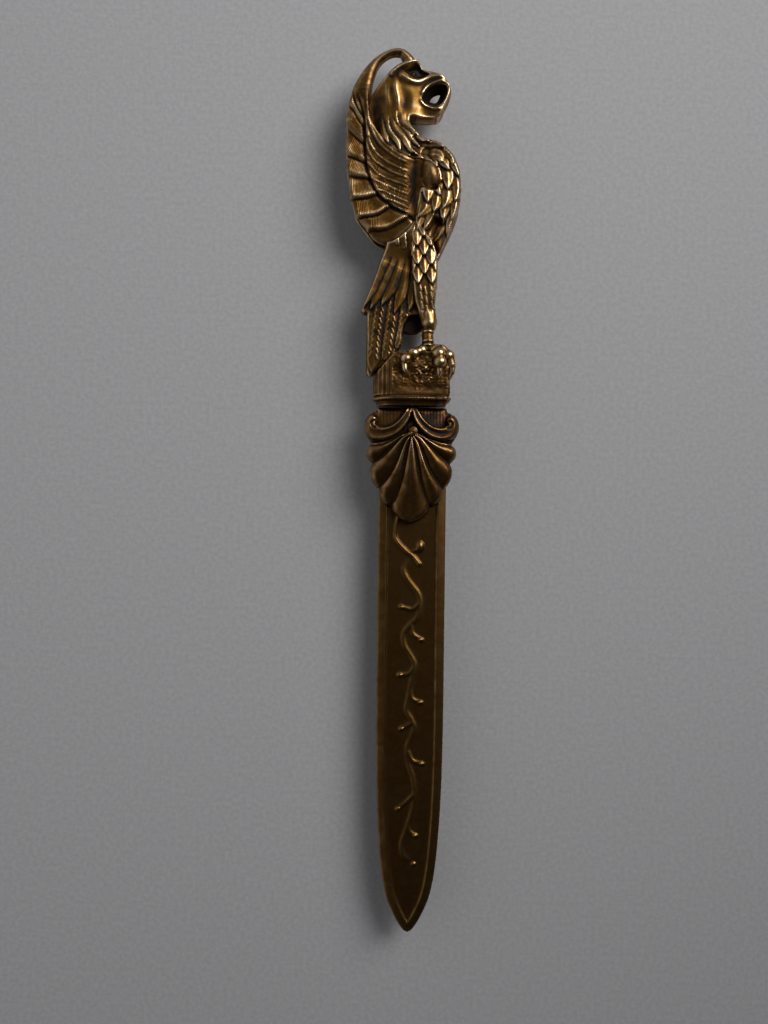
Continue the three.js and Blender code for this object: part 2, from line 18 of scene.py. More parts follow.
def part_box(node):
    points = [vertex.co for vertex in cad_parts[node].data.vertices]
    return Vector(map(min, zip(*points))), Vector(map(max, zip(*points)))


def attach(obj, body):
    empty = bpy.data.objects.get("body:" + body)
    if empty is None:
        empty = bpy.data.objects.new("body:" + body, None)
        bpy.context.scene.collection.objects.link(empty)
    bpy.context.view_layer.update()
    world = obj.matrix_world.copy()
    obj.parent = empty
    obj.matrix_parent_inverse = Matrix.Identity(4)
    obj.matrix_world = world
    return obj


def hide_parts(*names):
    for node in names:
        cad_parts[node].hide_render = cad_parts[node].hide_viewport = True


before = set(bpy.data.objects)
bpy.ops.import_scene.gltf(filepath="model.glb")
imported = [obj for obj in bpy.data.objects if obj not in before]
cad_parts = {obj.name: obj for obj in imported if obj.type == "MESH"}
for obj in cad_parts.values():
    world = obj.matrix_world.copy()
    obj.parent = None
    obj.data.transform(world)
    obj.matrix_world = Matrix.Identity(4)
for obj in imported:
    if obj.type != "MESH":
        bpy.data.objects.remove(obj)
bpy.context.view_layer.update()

MM = 0.001
POINT_Y = -138.1  # the blade's point
STEP = 0.16  # between the points of the grids
FIGURE_STEP = 0.18  # for the head, the body and the tail
BLADE_STEP = 0.28

blade_low, blade_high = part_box("blade")
ORIGIN = np.array([
    (blade_low.x + blade_high.x) / 2 / MM,
    blade_low.y / MM - POINT_Y,
    (blade_low.z + blade_high.z) / 2 / MM,
])

# ---- fields over the plane -------------------------------------------------------------------------------------


class Plane:
    """A square grid over part of the knife's plane. A map drawn on it is an array indexed [x, y]."""

    def __init__(self, low, high, step=STEP):
        self.step = step
        self.x = np.arange(low[0], high[0] + step, step)
        self.y = np.arange(low[1], high[1] + step, step)
        self.X, self.Y = np.meshgrid(self.x, self.y, indexing="ij")

    def crop(self, window):
        """The part of the grid inside a window."""
        part = copy.copy(self)
        part.x, part.y = self.x[window[0]], self.y[window[1]]
        part.X, part.Y = self.X[window], self.Y[window]
        return part

    def window(self, low, high):
        return (
            slice(*np.searchsorted(self.x, (low[0], high[0]))),
            slice(*np.searchsorted(self.y, (low[1], high[1]))),
        )


def smoothstep(low, high, value):
    t = np.clip((value - low) / (high - low), 0, 1)
    return t * t * (3 - 2 * t)


def mix(a, b, share):
    return a + (b - a) * share


def curve(points, per_span=8):
    """A smooth path through the points."""
    p = np.asarray(points, float)
    if len(p) < 3:
        return np.linspace(p[0], p[-1], per_span + 1)
    ends = np.vstack([2 * p[0] - p[1], p, 2 * p[-1] - p[-2]])
    t = np.linspace(0, 1, per_span, endpoint=False)[:, None]
    spans = [
        0.5 * (2 * b + (c - a) * t + (2 * a - 5 * b + 4 * c - d) * t**2 + (3 * b - a - 3 * c + d) * t**3)
        for a, b, c, d in zip(ends, ends[1:], ends[2:], ends[3:])
    ]
    return np.vstack(spans + [p[-1:]])


def outline(*runs):
    """A closed outline of smooth runs that meet at corners."""
    return np.vstack([curve(run)[:-1] for run in runs])


def distance(plane, polygon):
    """The signed distance to a closed outline, negative inside it."""
    X, Y = plane.X, plane.Y
    nearest = np.full(X.shape, 1e9)
    inside = np.zeros(X.shape, bool)
    for (ax, ay), (bx, by) in zip(polygon, np.roll(polygon, -1, axis=0)):
        ex, ey = bx - ax, by - ay
        t = np.clip(((X - ax) * ex + (Y - ay) * ey) / (ex * ex + ey * ey + 1e-12), 0, 1)
        nearest = np.minimum(nearest, (X - ax - t * ex) ** 2 + (Y - ay - t * ey) ** 2)
        if ay != by:
            inside ^= ((ay > Y) != (by > Y)) & (X < ex * (Y - ay) / ey + ax)
    return np.where(inside, -1, 1) * np.sqrt(nearest)


def along(plane, path, reach):
    """For the grid near a path: its window, the share of the way along, the offset to the left, the length."""
    path = np.asarray(path, float)
    window = plane.window(path.min(0) - reach, path.max(0) + reach)
    X, Y = plane.X[window], plane.Y[window]
    lengths = np.hypot(*np.diff(path, axis=0).T)
    starts = np.concatenate([[0], np.cumsum(lengths)])
    nearest, share, side = np.full(X.shape, 1e9), np.zeros(X.shape), np.ones(X.shape)
    for (ax, ay), (bx, by), length, start in zip(path, path[1:], lengths, starts):
        ex, ey = bx - ax, by - ay
        t = np.clip(((X - ax) * ex + (Y - ay) * ey) / (length * length + 1e-12), 0, 1)
        gap = (X - ax - t * ex) ** 2 + (Y - ay - t * ey) ** 2
        closer = gap < nearest
        nearest = np.where(closer, gap, nearest)
        share = np.where(closer, (start + t * length) / starts[-1], share)
        side = np.where(closer, np.where(ex * (Y - ay) - ey * (X - ax) >= 0, 1, -1), side)
    return window, share, side * np.sqrt(nearest), starts[-1]


def ridge(plane, height, path, rise, width, ends=0.12):
    """Adds a narrow ridge along a path, or cuts a groove if the rise is negative. It fades out at its ends."""
    window, t, s, _ = along(plane, curve(path), 3 * width)
    fade = smoothstep(0, ends, t) * smoothstep(0, ends, 1 - t) if ends else 1
    height[window] += rise * np.exp(-((s / width) ** 2)) * fade


def blob(plane, height, centre, radii, rise, turn=0.0, power=1.0):
    """Adds a smooth oval swelling, or sinks a hollow if the rise is negative."""
    a = math.radians(turn)
    dx, dy = plane.X - centre[0], plane.Y - centre[1]
    u = (dx * math.cos(a) + dy * math.sin(a)) / radii[0]
    v = (dy * math.cos(a) - dx * math.sin(a)) / radii[1]
    height += rise * np.clip(1 - u * u - v * v, 0, 1) ** power


def leaf(plane, height, floor, path, half, lift=0.3, crown=0.35, rim=0.1, point=0.5, quill=0.0, sink=0.3):
    """Lays one pointed feather over whatever is there. Its root starts the path, and its tip stands up."""
    window, t, s, _ = along(plane, curve(path, 5), half + 0.3)
    width = half * np.clip((1 - t) / point, 0, 1) ** 0.65
    q = np.abs(s) / np.maximum(width, 1e-6)
    grown = smoothstep(0, 0.35, t)
    shape = floor[window] + lift * t - sink * (1 - grown) + grown * crown * (0.35 - q * q)
    shape += rim * grown * np.exp(-(((q - 0.78) / 0.2) ** 2)) + quill * grown * np.exp(-((s / 0.18) ** 2))
    height[window] = np.where(q < 1, np.maximum(shape, height[window] - 0.4), height[window])


def balloon(inside, step):
    """Blows up a silhouette: over a disc this is a hemisphere of the same radius."""
    levels = [8, 4, 2, 1]
    u = None
    for level in levels:
        mask = inside[::level, ::level].astype(float)
        if u is None:
            u = mask * 50.0
        else:
            u = np.kron(u, np.ones((2, 2)))
            u = np.pad(u, [(0, max(0, m - n)) for m, n in zip(mask.shape, u.shape)], mode="edge")
            u = u[: mask.shape[0], : mask.shape[1]]
        for _ in range(260):
            padded = np.pad(u, 1)
            around = padded[2:, 1:-1] + padded[:-2, 1:-1] + padded[1:-1, 2:] + padded[1:-1, :-2]
            u = mask * (around / 4 + level * level)
    return np.sqrt(u) * step


def crown_of(puffed, reach):
    """The round shoulder of a swelling: 0 at its edge, and 1 from that far in."""
    e = np.clip(puffed / reach, 0, 1)
    return np.sqrt(1 - (1 - e) ** 2)


def rounding(edge, radius):
    """How far a rounded edge falls below the full height, from the signed distance to the outline."""
    e = np.clip(1 + edge / radius, 0, 1)
    return radius * (1 - np.sqrt(1 - e * e))


def blur(field, times=1):
    for _ in range(times):
        padded = np.pad(field, 1, mode="edge")
        field = (padded[2:, 1:-1] + padded[:-2, 1:-1] + padded[1:-1, 2:] + padded[1:-1, :-2]) / 8 + field / 2
    return field


def lattice_noise(X, Y, Z, size, seed):
    """Smooth noise from -1 to 1, whose lumps are about as wide as the size."""
    table = np.random.default_rng(seed).uniform(-1, 1, (32, 32, 32))
    cells = [np.floor(c / size).astype(int) for c in (X, Y, Z)]
    shares = [smoothstep(0, 1, c / size - cell) for c, cell in zip((X, Y, Z), cells)]
    total = 0
    for corner in np.ndindex(2, 2, 2):
        weight = 1
        for on, share in zip(corner, shares):
            weight = weight * (share if on else 1 - share)
        total = total + weight * table[tuple((cell + on) % 32 for cell, on in zip(cells, corner))]
    return total


# ---- solids ----------------------------------------------------------------------------------------------------


class Solid:
    """A field over a block of the grid: negative inside the metal, and close to the distance from its surface."""

    def __init__(self, plane, low, high):
        self.plane = plane
        self.z = np.arange(low, high + plane.step, plane.step)
        self.field = np.full((len(plane.x), len(plane.y), len(self.z)), 2.0)

    def block(self):
        return self.plane.X[:, :, None], self.plane.Y[:, :, None], self.z[None, None, :]

    def relief(self, edge, front, back):
        """The metal inside an outline, between two height maps."""
        fields = [edge[:, :, None]]
        for height, sign in ((front, 1), (back, -1)):
            slope = np.sqrt(1 + sum(g * g for g in np.gradient(height, self.plane.step)))
            fields.append(sign * (self.z[None, None, :] - height[:, :, None]) / np.minimum(slope, 3)[:, :, None])
        self.field = np.minimum(self.field, np.maximum.reduce(np.broadcast_arrays(*fields)))
        return self

    def join(self, field, blend=0.0, window=None):
        """Adds a field, with a fillet where it meets what is there."""
        here = self.field if window is None else self.field[window]
        if blend:
            share = np.clip(0.5 + (here - field) / (2 * blend), 0, 1)
            joined = mix(here, field, share) - blend * share * (1 - share)
        else:
            joined = np.minimum(here, field)
        if window is None:
            self.field = joined
        else:
            self.field[window] = joined

    def cut(self, field):
        self.field = np.maximum(self.field, -field)

    def tube(self, points, radii, blend=0.3):
        """Joins a round rod through the points, with its own radius at each."""
        path = curve(points, 6)
        widths = np.interp(np.linspace(0, 1, len(path)), np.linspace(0, 1, len(radii)), radii)
        reach = widths.max() + 0.8
        low, high = path.min(0) - reach, path.max(0) + reach
        window = (*self.plane.window(low, high), slice(*np.searchsorted(self.z, (low[2], high[2]))))
        X, Y, Z = (np.broadcast_to(c, self.field.shape)[window] for c in self.block())
        nearest = np.full(X.shape, 9.0)
        for a, b, ra, rb in zip(path, path[1:], widths, widths[1:]):
            e = b - a
            t = np.clip(((X - a[0]) * e[0] + (Y - a[1]) * e[1] + (Z - a[2]) * e[2]) / (e @ e + 1e-12), 0, 1)
            gap = np.sqrt((X - a[0] - t * e[0]) ** 2 + (Y - a[1] - t * e[1]) ** 2 + (Z - a[2] - t * e[2]) ** 2)
            nearest = np.minimum(nearest, gap - mix(ra, rb, t))
        self.join(nearest, blend, window)

    def ball(self, centre, radii, blend=0.3):
        X, Y, Z = self.block()
        q = np.sqrt(sum(((c - m) / r) ** 2 for c, m, r in zip((X, Y, Z), centre, radii)))
        self.join((q - 1) * min(radii), blend)


def sample(plane, field, points):
    """The value of a map under each point."""
    u = np.clip((points[:, 0] - plane.x[0]) / plane.step, 0, len(plane.x) - 1.001)
    v = np.clip((points[:, 1] - plane.y[0]) / plane.step, 0, len(plane.y) - 1.001)
    i, j = u.astype(int), v.astype(int)
    a, b = u - i, v - j
    near = field[i, j] * (1 - a) + field[i + 1, j] * a
    far = field[i, j + 1] * (1 - a) + field[i + 1, j + 1] * a
    return near * (1 - b) + far * b


def hollows(points, quads, turns):
    """How far each point lies under the surface around it: more than 0 in a hollow, and less on an edge."""
    edges = np.vstack([quads[:, [k, (k + 1) % 4]] for k in range(4)])
    a, b = edges[:, 0], edges[:, 1]
    count = np.bincount(a, minlength=len(points)) + np.bincount(b, minlength=len(points))
    smooth = points.copy()
    for _ in range(turns):
        total = np.stack([
            np.bincount(a, smooth[b, k], len(points)) + np.bincount(b, smooth[a, k], len(points))
            for k in range(3)
        ], axis=1)
        smooth = 0.5 * smooth + 0.5 * total / count[:, None]
    across = np.cross(points[quads[:, 2]] - points[quads[:, 0]], points[quads[:, 3]] - points[quads[:, 1]])
    normals = np.stack([
        sum(np.bincount(quads[:, c], across[:, k], len(points)) for c in range(4)) for k in range(3)
    ], axis=1)
    normals /= np.linalg.norm(normals, axis=1)[:, None] + 1e-12
    return ((smooth - points) * normals).sum(1)


def skin(name, solid, material, nodes, maps=None, flip=False):
    """Makes the mesh of a solid, and lets it stand for CAD nodes."""
    grid = openvdb.FloatGrid(2.0)
    grid.copyFromArray(np.ascontiguousarray(solid.field, dtype=np.float32))
    points, quads = grid.convertToQuads(0.0)
    plane = solid.plane
    points = points.astype(float) * plane.step + [plane.x[0], plane.y[0], solid.z[0]]
    quads = quads.astype(np.int64)
    a, b, c, d = (points[quads[:, k]] for k in range(4))
    if (np.cross(c - a, d - b) * (a + c)).sum() < 0:
        quads = quads[:, ::-1]
    # The broader of the two measures darkens broad hollows as painted shade.
    attributes = {"hollow": hollows(points, quads, 10), "dip": hollows(points, quads, 60)}
    for key, field in (maps or {}).items():
        attributes[key] = field(points) if callable(field) else sample(plane, field, points)
    if flip:
        points[:, 2] *= -1
        quads = quads[:, ::-1]
    mesh = bpy.data.meshes.new(name)
    mesh.vertices.add(len(points))
    mesh.vertices.foreach_set("co", ((points + ORIGIN) * MM).astype(np.float32).ravel())
    mesh.loops.add(quads.size)
    mesh.loops.foreach_set("vertex_index", quads.astype(np.int32).ravel())
    mesh.polygons.add(len(quads))
    mesh.polygons.foreach_set("loop_start", np.arange(0, quads.size, 4, dtype=np.int32))
    mesh.update(calc_edges=True)
    mesh.polygons.foreach_set("use_smooth", np.ones(len(quads), bool))
    for key, values in attributes.items():
        mesh.attributes.new(key, "FLOAT", "POINT").data.foreach_set("value", values.astype(np.float32))
    mesh.materials.append(material)
    piece = bpy.data.objects.new(name, mesh)
    bpy.context.scene.collection.objects.link(piece)
    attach(piece, "root")
    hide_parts(*nodes)
    return piece


# ---- materials -------------------------------------------------------------------------------------------------


class Shader:
    """Makes a material's nodes one after another."""

    def __init__(self, name):
        self.material = bpy.data.materials.new(name)
        self.material.use_nodes = True
        self.tree = self.material.node_tree
        self.surface = self.tree.nodes["Principled BSDF"]

    def put(self, socket, value):
        if isinstance(value, bpy.types.NodeSocket):
            self.tree.links.new(value, socket)
        elif value is not None:
            socket.default_value = value

    def node(self, kind, settings=None, **inputs):
        node = self.tree.nodes.new(kind)
        for key, value in (settings or {}).items():
            setattr(node, key, value)
        for key, value in inputs.items():
            self.put(node.inputs[int(key[1:]) if key[0] == "i" and key[1:].isdigit() else key], value)
        return node

    def math(self, operation, a, b=None, c=None, clamp=False):
        node = self.node("ShaderNodeMath", {"operation": operation, "use_clamp": clamp}, i0=a, i1=b, i2=c)
        return node.outputs[0]

    def attribute(self, name):
        return self.node("ShaderNodeAttribute", {"attribute_name": name}).outputs["Fac"]

    def noise(self, per_mm, detail=3.0, stretch=(1, 1, 1)):
        place = self.node("ShaderNodeTexCoord").outputs["Object"]
        scaled = self.node("ShaderNodeVectorMath", {"operation": "MULTIPLY"}, i0=place,
                           i1=[s * per_mm / MM for s in stretch]).outputs[0]
        return self.node("ShaderNodeTexNoise", Vector=scaled, Scale=1.0, Detail=detail).outputs["Fac"]

    def ramp(self, value, *stops):
        node = self.node("ShaderNodeValToRGB", Fac=value)
        elements = node.color_ramp.elements
        while len(elements) < len(stops):
            elements.new(0.5)
        for element, (place, color) in zip(elements, stops):
            element.position = place
            element.color = color if isinstance(color, tuple) else (color, color, color, 1)
        return node.outputs["Color"]

    def scale(self, value, low, high, to_low=0.0, to_high=1.0):
        node = self.node("ShaderNodeMapRange", {"clamp": True})
        for socket, given in zip(node.inputs, (value, low, high, to_low, to_high)):
            self.put(socket, given)
        return node.outputs["Result"]


def rgb(hexa):
    """A colour from its sRGB hex code."""
    channels = [int(hexa[i : i + 2], 16) / 255 for i in (0, 2, 4)]
    return (*[c / 12.92 if c <= 0.04045 else ((c + 0.055) / 1.055) ** 2.4 for c in channels], 1)


BARB_PITCH = 0.42
BARB_DEPTH = 0.055


def bronze(name, deep, body, high, gloss=(0.3, 0.4, 0.6), grain=0.02, contrast=1.0, barbs=False):
    """Old cast bronze: polished on its edges, brown between them, and dull and dark with patina in its small
    hollows.
    Its broad hollows are darkened further as painted shade.

    Another attribute of the mesh adds painted shade, or a painted highlight where it is negative. With barbs, its
    barb attribute is the way along a feather, and fluff is how deep the barbs are.
    """
    s = Shader(name)
    wear = s.math("SUBTRACT", s.scale(s.attribute("hollow"), -0.06, 0.06), 0.5)
    # Broad hollows are darkened as painted shade.
    broad = s.math("SUBTRACT", s.scale(s.attribute("dip"), -0.3, 0.3), 0.5)
    level = s.math("ADD", s.math("MULTIPLY", wear, 0.5 * contrast), s.math("MULTIPLY", broad, 0.6 * contrast))
    patchy = s.math("MULTIPLY", s.math("SUBTRACT", s.noise(0.4, 4.0), 0.5), 0.7)
    # Painted shade from the mesh, or a painted highlight where its value is negative.
    level = s.math("ADD", s.math("ADD", level, patchy), s.math("MULTIPLY", s.attribute("painted_light"), 0.6))
    level = s.math("ADD", level, 0.5, clamp=True)
    color = s.ramp(level, (0.1, rgb(high)), (0.45, rgb(body)), (0.82, rgb(deep)))
    red = s.node("ShaderNodeMix", {"data_type": "RGBA", "blend_type": "MULTIPLY"})
    s.put(red.inputs["Factor"], s.scale(s.noise(0.16, 3.0), 0.45, 0.7, 0.0, 0.55))
    s.put(red.inputs[6], color)
    red.inputs[7].default_value = (1.0, 0.8, 0.66, 1)
    s.put(s.surface.inputs["Base Color"], red.outputs[2])
    s.put(s.surface.inputs["Metallic"], s.ramp(level, (0.5, 1.0), (0.95, 0.5)))
    rough = s.ramp(level, (0.1, gloss[0]), (0.45, gloss[1]), (0.85, gloss[2]))
    speck = s.math("MULTIPLY", s.math("SUBTRACT", s.noise(2.4, 2.0), 0.5), 0.14)
    s.put(s.surface.inputs["Roughness"], s.math("ADD", rough, speck, clamp=True))
    height = s.math("MULTIPLY", s.noise(3.2, 3.0), grain)
    if barbs:
        wave = s.math("SINE", s.math("MULTIPLY", s.attribute("barb"), 2 * math.pi / BARB_PITCH))
        barb = s.math("MULTIPLY", s.math("MULTIPLY", wave, s.attribute("fluff")), BARB_DEPTH)
        height = s.math("ADD", height, barb)
    bump = s.node("ShaderNodeBump", Height=height, Strength=1.0, Distance=MM)
    s.put(s.surface.inputs["Normal"], bump.outputs["Normal"])
    return s.material


FIGURE = bronze("figure", "1c1108", "8a6530", "dfc6a0", gloss=(0.28, 0.36, 0.58), contrast=1.15)
SHADED = bronze("shaded_figure", "1a1006", "6c4d22", "c8ac84", gloss=(0.32, 0.4, 0.6), barbs=True)
GUARD = bronze("guard", "1e1006", "70502a", "b4946a", gloss=(0.26, 0.36, 0.6))
BLADE = bronze("blade", "2a1c0c", "70522a", "93784c", gloss=(0.3, 0.36, 0.45), grain=0.006, contrast=0.45)
PIN = bronze("pin", "2a1c0c", "8a6a3a", "e0c490")

# ---- the blade -------------------------------------------------------------------------------------------------

BLADE_HALF = 8.7
STEM = [(-0.4, -40.6), (-2.1, -43.5), (-1.1, -46.4), (1.7, -50), (2.3, -52.8), (1.6, -56.2), (-0.5, -58.5),
        (-1.9, -60.8), (-1.6, -63.6), (-0.1, -66.1), (1.1, -68.8), (0.4, -72.5), (-0.5, -77.5), (-0.9, -80.5),
        (0.6, -83.2), (1.1, -85.5), (-0.6, -90), (-0.3, -94), (1.0, -98), (1.5, -102), (0.9, -106.5),
        (-0.6, -111.5), (-1.7, -115), (-1.2, -118.2), (1.4, -120.3)]
CROSSING = [(-3.2, -29), (-4.3, -33.5), (-4, -36.2), (-1.5, -39), (0.5, -40.6), (2.5, -43.1)]
BUD = (2.1, -38.0)
TENDRILS = [
    [(-0.4, -40.6), (0.4, -39.3), (1.6, -38.6)],
    [(2.2, -52.6), (0.3, -54.2), (-2.7, -53.6)],
    [(0.1, -57.9), (0.5, -60.5), (2.8, -62.2)],
    [(1.1, -68.8), (-0.4, -70.9), (-2.9, -71.3)],
    [(0, -74.5), (0.6, -77.4), (2.8, -78.4)],
    [(0.8, -83.5), (-0.6, -84.4), (-2.3, -85.3)],
    [(-0.6, -90.5), (0.8, -93.4), (3.3, -94.3)],
    [(1.5, -102), (-0.8, -104.4), (-2.9, -106.1)],
    [(-0.2, -110), (0.4, -111.9), (1.9, -113)],
]


def make_blade():
    plane = Plane((-9.8, POINT_Y - 1.2), (9.8, -12.8), BLADE_STEP)
    h = BLADE_HALF
    side = [(h, -13.5), (h, -50), (h, -84), (h - 0.3, -101), (h - 0.9, -112.8), (h - 1.8, -122.2),
            (h - 3.1, -128.8), (h - 5.4, -134.2), (h - 7.4, -137.3), (0, POINT_Y)]
    edge = distance(plane, outline(side, [(-x, y) for x, y in side[::-1]], [(-h, -13.5), (h, -13.5)]))
    # The rim falls away to the edge; inside it, a small bead and then the flat field.
    front = 0.9 - 0.34 * smoothstep(-1.7, 0, edge) - 0.3 * smoothstep(-2.0, -2.6, edge)
    front += 0.12 * np.exp(-(((edge + 1.95) / 0.22) ** 2))
    closed = np.maximum(edge, plane.Y + 32.2)  # on the back the field stops short of the guard
    back = -(0.9 - 0.34 * smoothstep(-1.7, 0, edge) - 0.3 * smoothstep(-2.0, -2.6, closed))
    vine = np.zeros(front.shape)
    strands = [(STEM, 0.3, 0.6), (CROSSING, 0.5, 0.42)] + [(tendril, 0.32, 0.46) for tendril in TENDRILS]
    for path, rise, width in strands:
        strand = np.zeros(front.shape)
        ridge(plane, strand, path, rise, width, ends=0.05)
        vine = np.maximum(vine, strand)
    front += vine
    for path in [STEM] + TENDRILS[1:]:
        blob(plane, front, path[-1], (0.8, 0.7), 0.4)
    blob(plane, front, BUD, (1.25, 1.7), 0.75)
    solid = Solid(plane, -1.6, 1.9).relief(edge, front, back)
    return skin("blade_relief", solid, BLADE, ["blade"])


# ---- the guard, the collar and the plinth ----------------------------------------------------------------------

GUARD_SIDE = [
    [(9.2, -2.0), (9.3, -3.0), (10.2, -3.3), (11.7, -4.6), (12.3, -6.8), (11.9, -9.2), (10.3, -11.6)],
    [(10.3, -11.6), (11.4, -12.7), (11.5, -14.8), (10.0, -16.6)],
    [(10.0, -16.6), (10.6, -17.9), (10.4, -20.2), (9.3, -22.3), (8.2, -23.3)],
    [(8.2, -23.3), (7.9, -25.2), (6.6, -27), (5.0, -27.8)],
    [(5.0, -27.8), (4.4, -29.2), (2.6, -30.9), (0, -31.9)],
]
PETAL_EDGES = [  # from the boss out, the highest first
    [(0.5, -8.6), (2.4, -9.3), (5.1, -10.7), (7.6, -11.6), (10.4, -11.8), (13.4, -11.6)],
    [(0.3, -8.8), (2.4, -9.7), (4.4, -11.6), (7.5, -14.8), (10.2, -16.6), (13.0, -18.2)],
    [(0.2, -9.2), (1.5, -10.5), (2.5, -12.6), (3.9, -16.3), (5.6, -19.5), (8.3, -23.2), (10.0, -25.6)],
    [(0.1, -9.6), (0.9, -12.4), (1.4, -15.0), (2.3, -20.0), (3.7, -24.8), (5.1, -27.8), (6.2, -30.0)],
    [(0, -9), (0, -18), (0, -25), (0, -33)],
]
GUARD_SHIFT = 0.45  # the guard stands a little to the left of the blade's middle
VOLUTE_BAND = [(0.3, -1.6), (1.8, -5.2), (4.4, -7.9), (7.4, -8.9), (9.9, -8.2), (10.9, -6.6), (10.5, -5.4)]
VOLUTE_GROOVE = [(8.9, -7.4), (9.9, -7.2), (10.4, -6.3), (9.8, -5.6), (9.1, -5.9)]


def on_guard(path, side):
    """A path of the guard's right half, or its mirror image on the left half."""
    return [(side * x - GUARD_SHIFT, y) for x, y in path]


def make_guard(flip):
    plane = Plane((-13.5, -33), (13.5, -1.4))
    right = [on_guard(run, 1) for run in GUARD_SIDE]
    left = [on_guard(run[::-1], -1) for run in GUARD_SIDE[::-1]]
    edge = distance(plane, outline(*right, *left, on_guard([(-9.2, -2.0), (9.2, -2.0)], 1)))
    across, Y = plane.X + GUARD_SHIFT, plane.Y
    X = np.abs(across)
    dome = 5.0 - 1.7 * (X / 11) ** 2 - 1.9 * smoothstep(-14, -33, Y) ** 1.3 - 0.4 * smoothstep(-8, -2, Y)
    height = dome - 0.55
    # Each petal is a rounded ridge, with its crest nearer to its upper edge.
    for side in (-1, 1):
        half = across * side > -0.3
        offsets = []
        for path in PETAL_EDGES:
            s = np.full(X.shape, 9.0)
            window, _, near, _ = along(plane, curve(on_guard(path, side)), 9)
            s[window] = near * side
            offsets.append(s)
        for upper, lower in zip(offsets, offsets[1:]):
            inside = half & (upper < 0) & (lower > 0)
            u = -upper / np.maximum(lower - upper, 1e-6)
            if lower is offsets[-1]:
                u = u / 2  # the middle petal spans both sides
            arch = np.sin(math.pi * np.clip(u, 0, 1) ** 0.72) ** 0.7
            height = np.where(inside, dome - 1.3 + 1.35 * arch, height)
    # The panel over the volutes is flat and low, with upright strokes.
    lip = np.interp(X, [0, 2.4, 5.1, 7.6, 10.4], [-8.4, -9.0, -10.2, -11.0, -11.4])
    panel = smoothstep(-0.3, 0.5, Y - lip)
    height = mix(height, dome - 1.9 + 0.04 * np.cos(across * 2 * math.pi / 0.85), panel)
    for side in (-1, 1):
        band = curve(on_guard(VOLUTE_BAND, side))
        window, t, s, _ = along(plane, band, 2.4)
        width = np.interp(t, [0, 0.2, 0.55, 0.8, 1], [0.6, 1.15, 1.6, 1.95, 1.5])
        q = np.abs(s) / width
        sharp = smoothstep(0.95, 0.6, t)
        rope = dome[window] + 0.5 - 0.75 * q**2.4 + sharp * 0.26 * np.exp(-(((q - 0.66) / 0.17) ** 2))
        rope -= sharp * 0.42 * np.exp(-((q / 0.36) ** 2))
        height[window] = np.where(q < 1, np.maximum(height[window], rope), height[window])
        ridge(plane, height, on_guard(VOLUTE_GROOVE, side), -0.4, 0.28)
    blob(plane, height, (-GUARD_SHIFT, -8.3), (1.3, 1.3), 0.7, power=0.6)
    height = blur(height, 2) - rounding(edge, 1.5)
    solid = Solid(plane, 0.0, 6.6).relief(edge, height, np.full(X.shape, 0.16))
    # Room for the blade's shoulders, and above them for its tang.
    Xs, Ys, Zs = (np.broadcast_to(c, solid.field.shape) for c in solid.block())
    solid.cut(np.maximum.reduce([np.abs(Xs) - BLADE_HALF - 0.2, Zs - 1.15, Ys + 13.8]))
    solid.cut(np.maximum.reduce([np.abs(Xs) - 3.4, Zs - 1.1, Ys - 5]))
    name = "guard_back" if flip else "guard_front"
    # Painted shade: darker towards the right, and more on the low panel over the right volute.
    painted_shade = 0.2 * smoothstep(-1, 5, across) + 0.25 * panel * smoothstep(-1, 3, across)
    return skin(name + "_palmette", solid, GUARD, [name], {"painted_light": painted_shade}, flip)


def d_section(X, Z, left, right, half, round_left=6.0, round_right=1.2):
    """The distance to a D-shaped section across the knife, rounder on its left side."""
    middle, reach = (left + right) / 2, (right - left) / 2
    r = np.where(X < middle, round_left, round_right)
    r = np.minimum(r, half)
    qx = np.abs(X - middle) - (reach - r)
    qz = np.abs(Z) - (half - r)
    outside = np.sqrt(np.maximum(qx, 0) ** 2 + np.maximum(qz, 0) ** 2)
    return outside + np.minimum(np.maximum(qx, qz), 0) - r


def make_collar():
    plane = Plane((-12.4, -2.5), (10.9, 1.8))
    solid = Solid(plane, -6.6, 6.6)
    X, Y, Z = solid.block()
    lean = 0.009 * np.clip(X + 4, 0, None) ** 2 * smoothstep(8, 5, X)  # its faces fall a little to the right
    body = d_section(X, Z, -9.6, 8.4, 5.2) + lean
    bead = 0.75 * np.sqrt(np.clip(1 - ((Y - 0.25) / 0.7) ** 2, 0, 1))
    cavetto = 0.5 * smoothstep(-1.5, -0.1, Y) * smoothstep(0.5, 0.2, Y)
    solid.join(np.maximum(body - bead - cavetto, np.abs(Y + 0.4) - 1.3))
    # A painted highlight along the bead, fading out to the left.
    painted_highlight = -0.45 * np.exp(-(((plane.Y - 0.4) / 0.5) ** 2)) * smoothstep(-7, -3, plane.X)
    return skin("collar_moulding", solid, GUARD, ["collar"], {"painted_light": painted_highlight})


